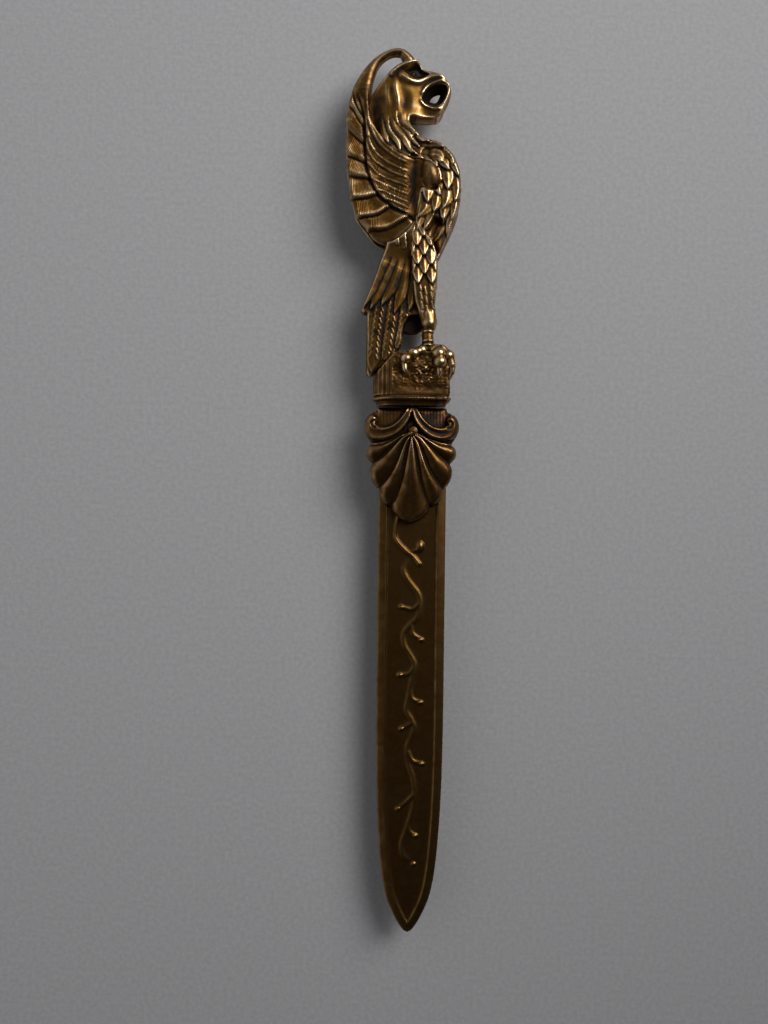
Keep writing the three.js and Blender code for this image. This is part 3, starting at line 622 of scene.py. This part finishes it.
def make_plinth():
    plane = Plane((-11.8, 0.7), (10.4, 14.2))
    solid = Solid(plane, -6.4, 6.4)
    X, Y, Z = (np.broadcast_to(c, solid.field.shape) for c in solid.block())
    rock = smoothstep(-6.2, -4.9, X)
    broken = 0.35 + 0.65 * smoothstep(3.4, 1.4, np.hypot(X - 2.2, 1.2 * (Y - 6.4)))
    rough = broken * (0.26 * lattice_noise(X, Y, Z, 1.3, 3) + 0.22 * lattice_noise(X, Y * 1.6, Z, 0.6, 5))
    rough += 0.45 * lattice_noise(X, Y * 1.5, Z, 3.2, 8)
    bulge = 0.25 * smoothstep(3.2, 1.6, Y)  # a smooth foot over the collar
    flutes = 0.07 * np.cos(X * 2 * math.pi / 1.15)
    face = mix(flutes, rough * smoothstep(1.4, 3.4, Y) + bulge, rock)
    body = d_section(X, Z, -10.5, 9.0, 4.8, round_right=0.9) - face
    top = Y - 12.0 - 0.5 * rough * rock
    corner = X * -0.739 + Y * 0.6736 - 11.75  # under the tail
    solid.join(np.maximum.reduce([body, top, 1.0 - Y, corner]))
    # Painted shade along the plinth's right edge.
    painted_shade = 0.5 * smoothstep(6.8, 8.4, plane.X)
    return skin("plinth_rock", solid, GUARD, ["plinth"], {"painted_light": painted_shade})


# ---- the wings -------------------------------------------------------------------------------------------------

WING_OUTLINE = outline(
    [(-0.4, 87.0), (-0.8, 88.4), (-2.0, 89.9), (-3.8, 91.0), (-6.2, 91.1), (-9.0, 90.0), (-11.5, 88.2),
     (-14.1, 85.2), (-16.2, 81.5), (-17.4, 78.0), (-18.3, 74.6), (-18.5, 70.0), (-18.5, 65.0), (-18.0, 57.2),
     (-17.1, 52.0), (-15.5, 46.8), (-13.1, 43.7), (-10.9, 40.7), (-7.5, 39.4), (-4.5, 40.4), (-1.3, 43.2),
     (0.3, 45.6)],
    [(0.3, 45.6), (1.0, 49.6), (1.7, 53.4)],
    [(1.7, 53.4), (3.3, 52.7), (5.6, 53.0), (6.5, 55.2), (5.9, 58.6), (3.7, 61.2), (0.6, 62.3)],
    [(0.6, 62.3), (-1.6, 62.5), (-5.0, 64.2), (-9.0, 67.9), (-11.2, 71.6), (-12.0, 76.0), (-11.9, 79.6),
     (-11.4, 82.8), (-10.1, 86.2), (-8.3, 88.2), (-6.4, 89.2), (-4.6, 89.3)],
    [(-4.6, 89.3), (-4.0, 88.0), (-4.1, 86.2)],
    [(-4.1, 86.2), (-0.4, 87.0)],
)
COVERT_EDGE = [(-15.6, 79.5), (-14.2, 75.4), (-13.4, 71.5), (-13.1, 65.0), (-12.7, 60.1), (-11.6, 56.2),
               (-9.4, 52.3), (-5.9, 49.3), (-2.5, 47.6), (0.3, 45.6)]
COVERT_RIDGES = [
    [(-12.6, 79.4), (-12.5, 76.0), (-11.6, 71.6), (-9.2, 67.7), (-5.0, 63.8), (-0.6, 61.6)],
    [(-12.9, 76.0), (-12.5, 72.0), (-11.1, 67.8), (-9.4, 65.2), (-6.8, 62.9), (-4.2, 61.2), (-1.4, 60.0)],
    [(-13.2, 71.0), (-12.2, 66.3), (-11.3, 64.3), (-9.4, 62.1), (-6.8, 60.3), (-3.8, 58.9), (-1.0, 58.0)],
    [(-13.1, 65.4), (-12.0, 62.7), (-10.5, 60.8), (-8.5, 59.4), (-5.7, 57.9), (-1.4, 56.3)],
    [(-12.7, 60.6), (-11.5, 59.4), (-10.4, 58.2), (-8.5, 56.9), (-5.4, 55.6), (-1.4, 54.2)],
    [(-11.8, 56.6), (-10.2, 55.9), (-7.7, 54.8), (-4.6, 53.3), (-1.3, 52.2)],
    [(-10.3, 53.6), (-8.4, 53.2), (-6.2, 52.2), (-3.8, 51.1), (-1.2, 50.3)],
    [(-7.8, 51.2), (-5.8, 50.6), (-3.6, 49.6), (-1.2, 48.6)],
]
FEATHER_EDGES = [  # the lower edge of each long feather, from its tip in
    [(-11.6, 42.9), (-7.7, 43.1), (-3.7, 45.1), (-1.0, 46.9)],
    [(-14.7, 46.1), (-9.9, 46.9), (-5.9, 49.2), (-2.4, 47.9)],
    [(-17.0, 51.1), (-13.0, 51.3), (-9.4, 52.4), (-7.0, 53.4)],
    [(-17.9, 57.5), (-14.6, 56.6), (-11.4, 56.2), (-9.4, 56.4)],
    [(-18.4, 62.6), (-15.2, 61.2), (-12.5, 60.1), (-10.5, 59.6)],
    [(-18.8, 70.6), (-17.2, 68.6), (-14.6, 66.0), (-12.4, 64.6)],
    [(-18.4, 76.0), (-16.8, 74.4), (-15.2, 71.6), (-13.6, 69.2), (-12.6, 67.6)],
    [(-16.9, 80.6), (-16.6, 78.2), (-15.9, 75.6), (-14.6, 73.2), (-13.3, 71.6)],
]


def make_wing(flip):
    plane = Plane((-19.6, 38.4), (7.6, 92.2))
    X, Y = plane.X, plane.Y
    edge = distance(plane, WING_OUTLINE)
    close = smoothstep(70, 87, Y)  # over the head the wings come together
    top, bottom = mix(5.4 - 1.5 * smoothstep(2, -22, X), 2.1, close), mix(2.36, 0.2, close)
    covert = distance(plane, outline(COVERT_EDGE, [(0.3, 45.6), (12, 46), (12, 63), (0.6, 63.5)],
                                     COVERT_RIDGES[0][::-1], [(-12.6, 79.4), (-15.6, 79.5)]))
    barb, fluff = np.zeros(X.shape), np.zeros(X.shape)

    feathers = top - 1.3
    for number, path in enumerate(FEATHER_EDGES):
        window, t, s, length = along(plane, curve(path), 6.5)
        rise = np.sqrt(1 - (1 - np.clip(s / 1.5, 0, 1)) ** 2)
        shingle = top[window] - 1.75 + 1.35 * rise * (1 - 0.7 * np.clip((s - 1.0) / 4.6, 0, 1))
        won = (s > 0) & (s < 6.3)
        feathers[window] = np.where(won, shingle, feathers[window])
        barb[window] = np.where(won, t * length, barb[window])
        fluff[window] = np.where(won, smoothstep(0.3, 1.0, s) * (0.4 if number < 1 else 1.0), fluff[window])

    # The coverts lie in a shallow trough, and each is a thin ridge over a smooth channel.
    coverts = top - 0.35 - 0.6 * smoothstep(0, 4.5, -covert)
    for path in COVERT_RIDGES:
        window, t, s, _ = along(plane, curve(path), 2.4)
        profile = 0.32 * np.exp(-((s / 0.32) ** 2)) + 0.16 * np.clip(1 - np.abs(s - 0.9) / 0.9, 0, 1)
        coverts[window] += smoothstep(1, 0.86, t) * profile
    # Where they end, a smooth hollow rises to the wing's front edge.
    front = smoothstep(-3.4, 0.0, X) * smoothstep(63, 60.5, Y)
    coverts = mix(coverts, top - 1.4 + 0.9 * smoothstep(-1.2, 2.4, X), front)
    # Painted shade in the smooth hollow before the wing's front edge.
    painted_shade = 0.3 * np.exp(-(((X + 0.5) / 1.5) ** 2)) * smoothstep(63, 60, Y) * smoothstep(44, 48, Y)

    height = np.where(covert < 0, coverts, feathers)
    height -= 0.5 * np.exp(-(((covert - 0.3) / 0.42) ** 2)) * smoothstep(80, 76, Y)
    # Above the long feathers the front of the wing is one smooth, round band.
    band = smoothstep(76.5, 80.5, Y + 0.25 * (X + 15))
    height = mix(height, top, band)
    blob(plane, height, (3.8, 57.4), (2.6, 4.2), 1.9, turn=14, power=0.9)
    blob(plane, height, (4.8, 53.9), (1.5, 0.9), -0.8)
    ridge(plane, height, [(1.3, 57.0), (1.6, 55.2), (2.7, 53.8), (4.6, 53.2), (6.2, 53.6)], 0.3, 0.4)
    ridge(plane, height, [(0.5, 46.4), (1.1, 49.5), (1.5, 52.8)], 0.3, 0.4)
    height = blur(height, 2) - rounding(edge, 1.5)
    solid = Solid(plane, 0.0, 7.6).relief(edge, height, bottom + rounding(edge, 0.5))
    name = "wing_left" if flip else "wing_right"
    maps = {"barb": barb, "fluff": fluff, "painted_light": painted_shade}
    return skin(name + "_plumes", solid, SHADED, [name], maps, flip)


# ---- the head, the body and the tail ---------------------------------------------------------------------------

HEAD_OUTLINE = outline(
    [(0.1, 87.3), (0.9, 86.4), (1.4, 85.2)],
    [(1.4, 85.2), (2.8, 84.9), (5.1, 84.4), (7.2, 83.2), (8.3, 81.6), (8.8, 79.8), (8.2, 77.5), (7.2, 75.4),
     (6.5, 73.6), (5.6, 72.4)],
    [(5.6, 72.4), (2.2, 72.1), (-1.6, 72.4)],
    [(-1.6, 72.4), (-1.4, 70.7), (0.1, 68.6), (1.6, 67.0), (3.0, 65.6)],
    [(3.0, 65.6), (-2.5, 60.6), (-8.8, 62.6)],
    [(-8.8, 62.6), (-11.6, 69), (-13.0, 75), (-12.8, 77.8), (-11.2, 79.9), (-9.6, 81.8), (-7.8, 83.9),
     (-6.0, 85.7), (-3.8, 87.0), (-1.6, 87.5), (0.1, 87.3)],
)
MOUTH = outline([(1.4, 78.4), (2.9, 80.2), (5.2, 81.2), (7.2, 81.0), (7.9, 79.9), (7.4, 77.8), (6.2, 76.0),
                 (4.5, 75.4), (2.3, 76.0), (1.1, 77.2), (1.4, 78.4)])
SOCKET = outline([(-3.4, 84.0), (-1.7, 85.3), (0.1, 86.2), (1.2, 85.2), (2.9, 83.7), (1.6, 82.7), (0.2, 82.3),
                  (-1.4, 82.8), (-3.4, 84.0)])
BREAST = [(0.1, 67.1), (4.0, 66.7), (6.8, 65.7), (9.5, 63.0), (11.0, 59.7), (11.5, 56.4), (11.6, 53.1),
          (11.1, 49.1), (10.3, 45.8), (8.7, 42.0), (7.1, 38.7), (6.2, 36.6)]
BODY_OUTLINE = outline(BREAST, [(6.2, 36.6), (4.4, 33), (3.0, 27.0), (0.6, 23.9), (-4, 27), (-9.8, 33)],
                       [(-9.8, 33), (-7.8, 39.5), (-8.6, 46), (-10, 54), (-8, 62), (-3, 66.4), (0.1, 67.1)])
TAIL_UPPER = outline(
    [(-7.0, 41), (-9.1, 35.9), (-10.6, 31.2), (-12.6, 26.0), (-14.0, 23.1)],
    [(-14.0, 23.1), (-13.4, 22.1), (-12.1, 22.2)],
    [(-12.1, 22.2), (-6.5, 26), (-2.8, 33), (-2, 41)],
    [(-2, 41), (-7.0, 41)],
)
TAIL_LOWER = outline(
    [(-8.6, 36), (-12.0, 25), (-12.4, 15.6), (-12.5, 6.8)],
    [(-12.5, 6.8), (-11.5, 5.7), (-10.4, 6.4)],
    [(-10.4, 6.4), (-7.3, 9.4), (-4.2, 12.5), (-3.2, 14.3)],
    [(-3.2, 14.3), (-2.8, 18.0), (-1.4, 21.0), (1.2, 21.8), (2.8, 25.0), (3.4, 30), (3.2, 36)],
    [(3.2, 36), (-8.6, 36)],
)
# The web between the tail and the legs, darkened as painted shade.
WEB = outline([(-3.2, 17.4), (-1.2, 16.9), (0.8, 17.2), (2.4, 18.6), (2.6, 21.4), (-0.4, 21.9), (-3, 21)],
              [(-3, 21), (-3.2, 17.4)])
NECK_JOINT = ((-2.6, 65.2), 103)  # a point on its face, and the way it faces in degrees
TAIL_JOINT = ((-5.0, 34.2), 246)
LAP = 1.2  # how far two pieces overlap on each side of their joint
RUFF = [
    [(-9.0, 73), (-8.6, 69), (-7.2, 64.4)],
    [(-7.8, 73.4), (-7.0, 69), (-4.8, 65.4), (-4.2, 62.8)],
    [(-6.4, 73.0), (-5.6, 69.4), (-3.2, 66.6), (-1.6, 63.6), (0.4, 62.2)],
    [(-5.6, 75.0), (-4.9, 71.8), (-2.6, 69.2), (-1.4, 66.6), (0.9, 64.2)],
    [(-4.2, 74.0), (-3.6, 71.0), (-1.2, 69.0), (0.9, 66.8), (3.4, 65.4)],
]
BELLY = [
    [(-8.2, 46), (-7.0, 40), (-8.8, 33.5)],
    [(-5.6, 46), (-4.6, 39), (-6.2, 31.5)],
    [(-3.4, 46), (-2.6, 38), (-3.6, 28)],
    [(-1.6, 46), (-0.6, 38), (-1.0, 27)],
]
QUILLS = [
    [(-2.4, 28), (-3.0, 20), (-4.6, 13.0)],
    [(-5.2, 29), (-6.4, 19), (-7.6, 10.0)],
    [(-8.4, 30), (-10.0, 18), (-10.9, 7.0)],
]
PLUMES = [
    [(0.6, 38), (0.0, 31), (-1.4, 22.6)],
    [(-2.2, 37), (-3.0, 29), (-5.2, 22.0)],
    [(-3.6, 37), (-5.6, 30), (-8.6, 24.0)],
    [(-5.2, 38), (-7.8, 31), (-11.4, 23.0)],
    [(-6.6, 39), (-9.2, 32.4), (-13.3, 23.4)],
]
HEAD_LINES = [  # path, rise, width, and the share over which each end fades
    ([(-7.2, 82.8), (-4.9, 84.9), (-2.6, 86.0), (-0.6, 86.6), (0.8, 86.2)], 1.25, 0.75, 0.12),
    ([(-5.4, 84.0), (-3.4, 82.4), (-1.3, 81.5), (0.5, 81.5), (2.0, 82.3), (3.6, 83.0), (5.8, 83.2), (7.6, 82.2)],
     0.6, 0.85, 0.12),
    ([(1.0, 77.6), (1.5, 79.1), (2.8, 80.7), (4.6, 81.6), (6.3, 81.9), (7.9, 81.2), (8.5, 79.9)], 0.4, 0.36, 0.12),
    ([(0.6, 77.2), (1.5, 75.9), (2.7, 75.2), (4.6, 74.8), (6.4, 75.1)], 0.4, 0.32, 0.12),
    ([(-5.8, 83.4), (-5.6, 79.6), (-4.9, 76.0), (-5.2, 72.0)], 0.5, 0.8, 0.4),
    ([(-8.2, 81.8), (-8.0, 78.0), (-7.4, 74.4)], 0.25, 0.55, 0.4),
    ([(-2.6, 79.6), (-2.9, 76.6), (-3.1, 72.6)], -0.4, 1.2, 0.45),
    ([(0.2, 74.4), (3.0, 73.5), (6.0, 73.3)], -0.3, 0.9, 0.3),
]


def beyond(plane, joint):
    """How far each point lies past a joint's face."""
    (x, y), turn = joint
    a = math.radians(turn)
    return (plane.X - x) * math.cos(a) + (plane.Y - y) * math.sin(a)


def beside(path, inset, start, length, points=4):
    """A stretch of a path, moved to its right."""
    fine = curve(path)
    lengths = np.concatenate([[0], np.cumsum(np.hypot(*np.diff(fine, axis=0).T))])
    at = np.linspace(start, start + length, points)
    place = np.stack([np.interp(at, lengths, fine[:, k]) for k in (0, 1)], axis=1)
    way = np.stack([np.interp(at, lengths, np.gradient(fine[:, k])) for k in (0, 1)], axis=1)
    way /= np.linalg.norm(way, axis=1)[:, None]
    return place + inset * np.stack([way[:, 1], -way[:, 0]], axis=1)


def strokes(plane, height, quill, count, reach, rise=0.26):
    """Short raised strokes that slant down and out from both sides of a feather's quill."""
    for number in range(count):
        for side in (-1, 1):
            at = beside(quill, 0, (number + 0.5 * (side > 0)) * 1.55 + 0.6, 0.1, 2)[0]
            start = at + [side * 0.35 * reach, 0]
            ridge(plane, height, [start, start + [side * 0.5, -1.7]], rise, 0.17, ends=0.15)


def painted_light(plane, height, mouth, socket, web):
    """Painted shade in the open beak, in the eye's socket, on the web and a little behind the neck, and darker
    towards the tail.
    """

    def darkness(points):
        x, y, z = points.T
        from_mouth = sample(plane, mouth, points)
        depth = sample(plane, height, points) - np.abs(z)
        throat = smoothstep(0.15, 0.9, depth + smoothstep(0.0, -0.6, from_mouth))
        throat = throat * smoothstep(1.3, 0.3, from_mouth)
        eye = smoothstep(0.1, -0.7, sample(plane, socket, points))
        rump = 0.3 * smoothstep(41, 33, y)
        nape = 0.4 * smoothstep(-3.5, -10.0, x) * smoothstep(85, 72, y) * smoothstep(56, 60, y)
        return np.maximum.reduce([throat, eye, rump, nape, smoothstep(0.3, -0.3, sample(plane, web, points))])

    return darkness


def carve_breast(plane, height, floor):
    """Lays the breast's scales in rows from the lowest up, and the belly's soft feathers."""
    for row in range(6, -1, -1):
        for column in range(3, -1, -1):
            start = 0.2 + 5.2 * row + (2.6 if column % 2 else 0)
            if start < 31:
                sway = 0.75 * math.sin(2.3 * row + 1.7 * column)
                path = beside(BREAST, 1.0 + 2.5 * column + sway, start + sway, 7.8)
                path[1:3, 0] += sway
                leaf(plane, height, floor, path, 1.6 + 0.3 * sway, lift=0.65, crown=0.5, rim=0.18, quill=0.2)
    for path in BELLY:
        leaf(plane, height, floor, path, 1.5, lift=0.4, crown=0.55, rim=0.12, quill=0.1)


def carve_tail(plane, height, floor):
    """Lays the tail's plumes over its three long feathers, which bear fine strokes."""
    for path in QUILLS:
        leaf(plane, height, floor, path, 2.0, lift=0.3, crown=0.5, point=0.14)
        strokes(plane, height, path, 12, 1.7)
    for path in PLUMES:
        leaf(plane, height, floor + 0.45, path, 1.5, lift=0.25, crown=0.4, rim=0.06, point=0.3, quill=0.08)


def carve_head(plane, height, socket):
    """Draws the brow, the cheek, the beak's rims and the neck's folds, sinks the eye, and lays the ruff."""
    for path, rise, width, ends in HEAD_LINES:
        ridge(plane, height, path, rise, width, ends)
    height -= 1.7 * smoothstep(0.4, -1.2, socket)
    blob(plane, height, (-1.0, 83.8), (0.8, 0.7), 0.8)
    neck = height.copy()
    for path in RUFF:
        leaf(plane, height, neck, path, 1.15, lift=0.75, crown=0.6, rim=0.15, point=0.45, quill=0.1, sink=0.0)


def make_figure():
    """The head, the body and the tail, carved as one relief and cut apart at their joints."""
    plane = Plane((-15.2, 4.6), (12.9, 88.8), FIGURE_STEP)
    X, Y = plane.X, plane.Y
    outlines = (HEAD_OUTLINE, BODY_OUTLINE, TAIL_UPPER, TAIL_LOWER)
    shape = np.minimum.reduce([distance(plane, each) for each in outlines])
    web, mouth, socket = distance(plane, WEB), distance(plane, MOUTH), distance(plane, SOCKET)

    # How far the middle of the surface stands out, and how far in from the edge it gets there.
    top = np.interp(Y, [6, 20, 30, 36, 42, 50, 60, 66, 72, 80, 84, 88],
                    [2.3, 3.0, 3.1, 3.5, 4.7, 5.2, 5.2, 4.6, 4.2, 4.4, 4.2, 3.9])
    beak = smoothstep(-3.0, 3.6, X) * smoothstep(71, 73, Y)
    top = mix(top, 3.2, beak)
    reach = np.interp(Y, [6, 30, 42, 50, 60, 66, 72, 78, 88], [2.4, 3.6, 6.5, 7.5, 7.5, 5.6, 5.0, 5.6, 5.4])
    reach = mix(reach, 3.0, beak)
    floor = top * crown_of(balloon(shape < 0, plane.step), reach)
    floor = blur(floor, 4)
    floor -= 2.0 * smoothstep(-7.2, -11.6, X) * smoothstep(62, 66, Y) * smoothstep(84, 79, Y)  # behind the neck
    # A fold between the belly and the thigh, and the hollow in front of it.
    ridge(plane, floor, [(6.4, 46.5), (4.9, 43.5), (4.4, 40.0), (5.6, 36.5)], -1.9, 1.3)
    height = floor.copy()
    carve_breast(plane, height, floor)
    carve_tail(plane, height, floor)
    carve_head(plane, height, socket)

    under_wing = smoothstep(-0.4, -1.6, distance(plane, WING_OUTLINE)) * smoothstep(80, 74, Y)
    height = mix(blur(height, 2), np.minimum(height, 3.0), under_wing)
    web_height = np.where(web < 0, 0.55 * crown_of(-web, 0.7), 0)
    edge = np.minimum(shape, web)
    height = np.where(shape < 0, np.maximum(height, web_height), web_height)

    neck, rump = beyond(plane, NECK_JOINT), beyond(plane, TAIL_JOINT)
    for name, node, side, low, high in [
        ("head_and_neck", "head", -neck - LAP, (-12.4, 60.4), (10, 88.8)),
        ("body_plumage", "body", np.maximum(neck, rump) - LAP, (-11.5, 22), (12.9, 70.2)),
        ("tail_plumes", "tail", -rump - LAP, (-15.2, 4.6), (3.6, 39.6)),
    ]:
        window = plane.window(low, high)
        # Past the middle of a joint, each piece dips under the skin of the next one.
        dipped = height - 0.15 * smoothstep(-LAP, -0.5 * LAP, side)
        part_edge, part_height = np.maximum(edge, side)[window], dipped[window]
        solid = Solid(plane.crop(window), -6.2, 6.2).relief(part_edge, part_height, -part_height)
        if node == "head":
            # The open beak narrows to its middle from both sides.
            depth = part_height[:, :, None] - np.abs(solid.z)[None, None, :]
            solid.cut(mouth[window][:, :, None] + 0.6 * np.clip(depth, 0, None))
        skin(name, solid, FIGURE, [node], {"painted_light": painted_light(plane, height, mouth, socket, web)})


# ---- the legs --------------------------------------------------------------------------------------------------

THIGH = outline([(-0.9, 44.9), (1.2, 44.6), (3.8, 41.6), (5.5, 37.0), (5.7, 30.0), (5.3, 24.0), (6.0, 19.6)],
                [(6.0, 19.6), (4.2, 17.8), (1.7, 18.6)],
                [(1.7, 18.6), (0.5, 22.9), (-0.4, 26.0), (-1.1, 33.8), (-1.4, 40), (-0.9, 44.9)])
SHANK = (3.5, 3.2)  # x and z
TOES = [  # each joint's place and radius, then the claw's
    ([(3.4, 13.4, 3.4, 1.2), (1.9, 12.5, 4.4, 1.3), (-0.3, 11.5, 5.3, 1.5), (-2.1, 10.1, 5.6, 1.35),
      (-2.6, 8.8, 5.6, 0.9)],
     [(-2.5, 9.0, 5.6, 0.85), (-2.3, 7.2, 5.9, 0.6), (-1.2, 5.9, 5.5, 0.2)]),
    ([(3.8, 13.4, 3.6, 1.2), (5.5, 12.6, 4.8, 1.3), (6.2, 11.5, 5.6, 1.6), (6.5, 9.3, 6.0, 1.6),
      (6.4, 7.9, 5.8, 1.0)],
     [(6.4, 8.2, 5.9, 0.95), (6.4, 6.6, 6.1, 0.65), (6.2, 5.2, 5.4, 0.2)]),
    ([(4.2, 13.4, 3.2, 1.2), (7.0, 12.8, 3.8, 1.3), (8.7, 11.2, 4.0, 1.5), (9.5, 8.9, 3.9, 1.5)],
     [(9.5, 9.0, 3.9, 1.1), (9.7, 7.0, 4.0, 0.8), (8.8, 5.0, 4.0, 0.25)]),
]


def make_leg(flip):
    plane = Plane((-4.6, 4.2), (12.4, 46))
    X, Y = plane.X, plane.Y
    edge = distance(plane, THIGH)
    floor = 1.75 + 3.6 * crown_of(balloon(edge < 0, plane.step), 3.6)
    floor -= 1.1 * smoothstep(30, 19, Y)
    height = floor.copy()
    for row in range(6):
        for column in range(3):
            x, y = 0.4 + 3.5 * column - 1.75 * (row % 2) - 0.1 * row, 34.6 + 2.4 * row
            scale = [(x, y), (x + 0.4, y - 5.4)]
            leaf(plane, height, floor, scale, 2.05, lift=0.8, crown=0.42, rim=0.16, point=0.8, quill=0.14)
    for row in range(4):
        for column in range(3):
            y = 29.8 - 2.3 * row - 1.0 * (column % 2)
            x = 1.2 + 1.35 * column + 0.25 * row
            ridge(plane, height, [(x - 0.25, y), (x + 0.35, y - 2.5)], 0.28, 0.2)
    height = blur(height, 2) - rounding(edge, 0.7)
    solid = Solid(plane, 0.9, 8.2).relief(edge, height, np.full(X.shape, 1.75) + rounding(edge, 0.5))
    x, z = SHANK
    solid.tube([(x, 21.5, z), (x + 0.2, 19.6, z), (x, 18.2, z)], [1.8, 2.0, 1.3], 0.5)
    solid.tube([(x, 18.6, z), (x, 13.0, z)], [1.35, 1.4], 0.2)
    for y, r in ((17.4, 1.65), (15.0, 1.65), (13.9, 1.9)):
        solid.ball((x, y, z), (r, 0.55, r), 0.2)
    for joints, claw in TOES:
        for path, waist, blend in ((joints, 0.82, 0.25), (claw, 1.0, 0.12)):
            solid.tube([p[:3] for p in path], [waist * p[3] for p in path], blend)
        for *place, r in joints[1:-1]:
            solid.ball(place, (1.08 * r, r, r), 0.2)
    name = "leg_left" if flip else "leg_right"
    return skin(name + "_and_foot", solid, FIGURE, [name], flip=flip)


# ---- all the pieces, the floor, the light and the camera -------------------------------------------------------

make_blade()
make_collar()
make_plinth()
make_figure()
for far in (False, True):
    make_guard(far)
    make_wing(far)
    make_leg(far)

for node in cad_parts.values():
    if "pin" in node.name or "rivet" in node.name:
        node.data.materials.clear()
        node.data.materials.append(PIN)


def make_floor():
    s = Shader("cloth")
    fibres = s.math("ADD", s.noise(1.1, 5.0, (1, 0.35, 1)), s.noise(1.1, 5.0, (0.35, 1, 1)))
    s.put(s.surface.inputs["Base Color"], s.ramp(s.noise(0.9, 6.0), (0.35, rgb("bcbdc0")), (0.65, rgb("c6c7c9"))))
    s.put(s.surface.inputs["Roughness"], 0.95)
    s.put(s.surface.inputs["Specular IOR Level"], 0.1)
    bump = s.node("ShaderNodeBump", Height=s.math("MULTIPLY", fibres, 0.2), Strength=0.25, Distance=MM)
    s.put(s.surface.inputs["Normal"], bump.outputs["Normal"])
    half = 1.5  # metres
    mesh = bpy.data.meshes.new("floor")
    corners = [(-half, -half, 0), (half, -half, 0), (half, half, 0), (-half, half, 0)]
    mesh.from_pydata(corners, [], [(0, 1, 2, 3)])
    mesh.materials.append(s.material)
    floor = bpy.data.objects.new("floor", mesh)
    bpy.context.scene.collection.objects.link(floor)


def aim(thing, place, target, roll=0.0):
    """Puts a light or the camera at a place, looking at a target."""
    thing.location = place
    turn = (Vector(target) - Vector(place)).to_track_quat("-Z", "Y").to_matrix()
    thing.rotation_euler = (turn @ Matrix.Rotation(math.radians(roll), 3, "Z")).to_euler()


def add_light(name, place, target, size, watts, spread, color):
    light = bpy.data.lights.new(name, "AREA")
    light.shape = "DISK"
    light.size = size
    light.energy = watts
    light.spread = math.radians(spread)
    light.color = color
    thing = bpy.data.objects.new(name, light)
    bpy.context.scene.collection.objects.link(thing)
    aim(thing, place, target)


def make_room():
    """A dim room: lightest on the left, a little light beyond the head, and dark overhead and on the right."""
    world = bpy.data.worlds.new("studio")
    world.use_nodes = True
    tree = world.node_tree
    way = tree.nodes.new("ShaderNodeTexCoord").outputs["Generated"]
    lean = tree.nodes.new("ShaderNodeVectorMath")
    lean.operation = "DOT_PRODUCT"
    lean.inputs[1].default_value = (-0.85, 0.35, -0.15)
    tree.links.new(way, lean.inputs[0])
    shade = tree.nodes.new("ShaderNodeValToRGB")
    dark, light = shade.color_ramp.elements
    dark.position, dark.color = 0.0, (0.028, 0.028, 0.029, 1)
    light.position, light.color = 0.75, (0.46, 0.46, 0.47, 1)
    tree.links.new(lean.outputs["Value"], shade.inputs["Fac"])
    tree.links.new(shade.outputs["Color"], tree.nodes["Background"].inputs["Color"])
    tree.nodes["Background"].inputs["Strength"].default_value = 1.0
    bpy.context.scene.world = world
    bpy.context.scene.view_settings.view_transform = "Standard"


CAMERA_HEIGHT = 0.300  # metres above the middle of the blade's thickness
FOCAL_LENGTH = 27.046875


def make_camera():
    """The camera looks straight down, at a place to the left of the blade."""
    target = (np.array([-7.3, -29.1, 0.0]) + ORIGIN) * MM
    camera = bpy.data.cameras.new("camera")
    camera.sensor_fit = "VERTICAL"
    camera.sensor_height = 24.0
    camera.lens = FOCAL_LENGTH
    camera.clip_start, camera.clip_end = 0.01, 10
    view = bpy.data.objects.new("camera", camera)
    bpy.context.scene.collection.objects.link(view)
    aim(view, (target[0], target[1], target[2] + CAMERA_HEIGHT), target, roll=0.7)
    bpy.context.scene.camera = view


make_floor()
add_light("key", (0.40, 0.44, 0.50), (-0.10, 0.12, 0), size=0.60, watts=0.98, spread=75, color=(1.0, 0.985, 0.97))
make_room()
make_camera()
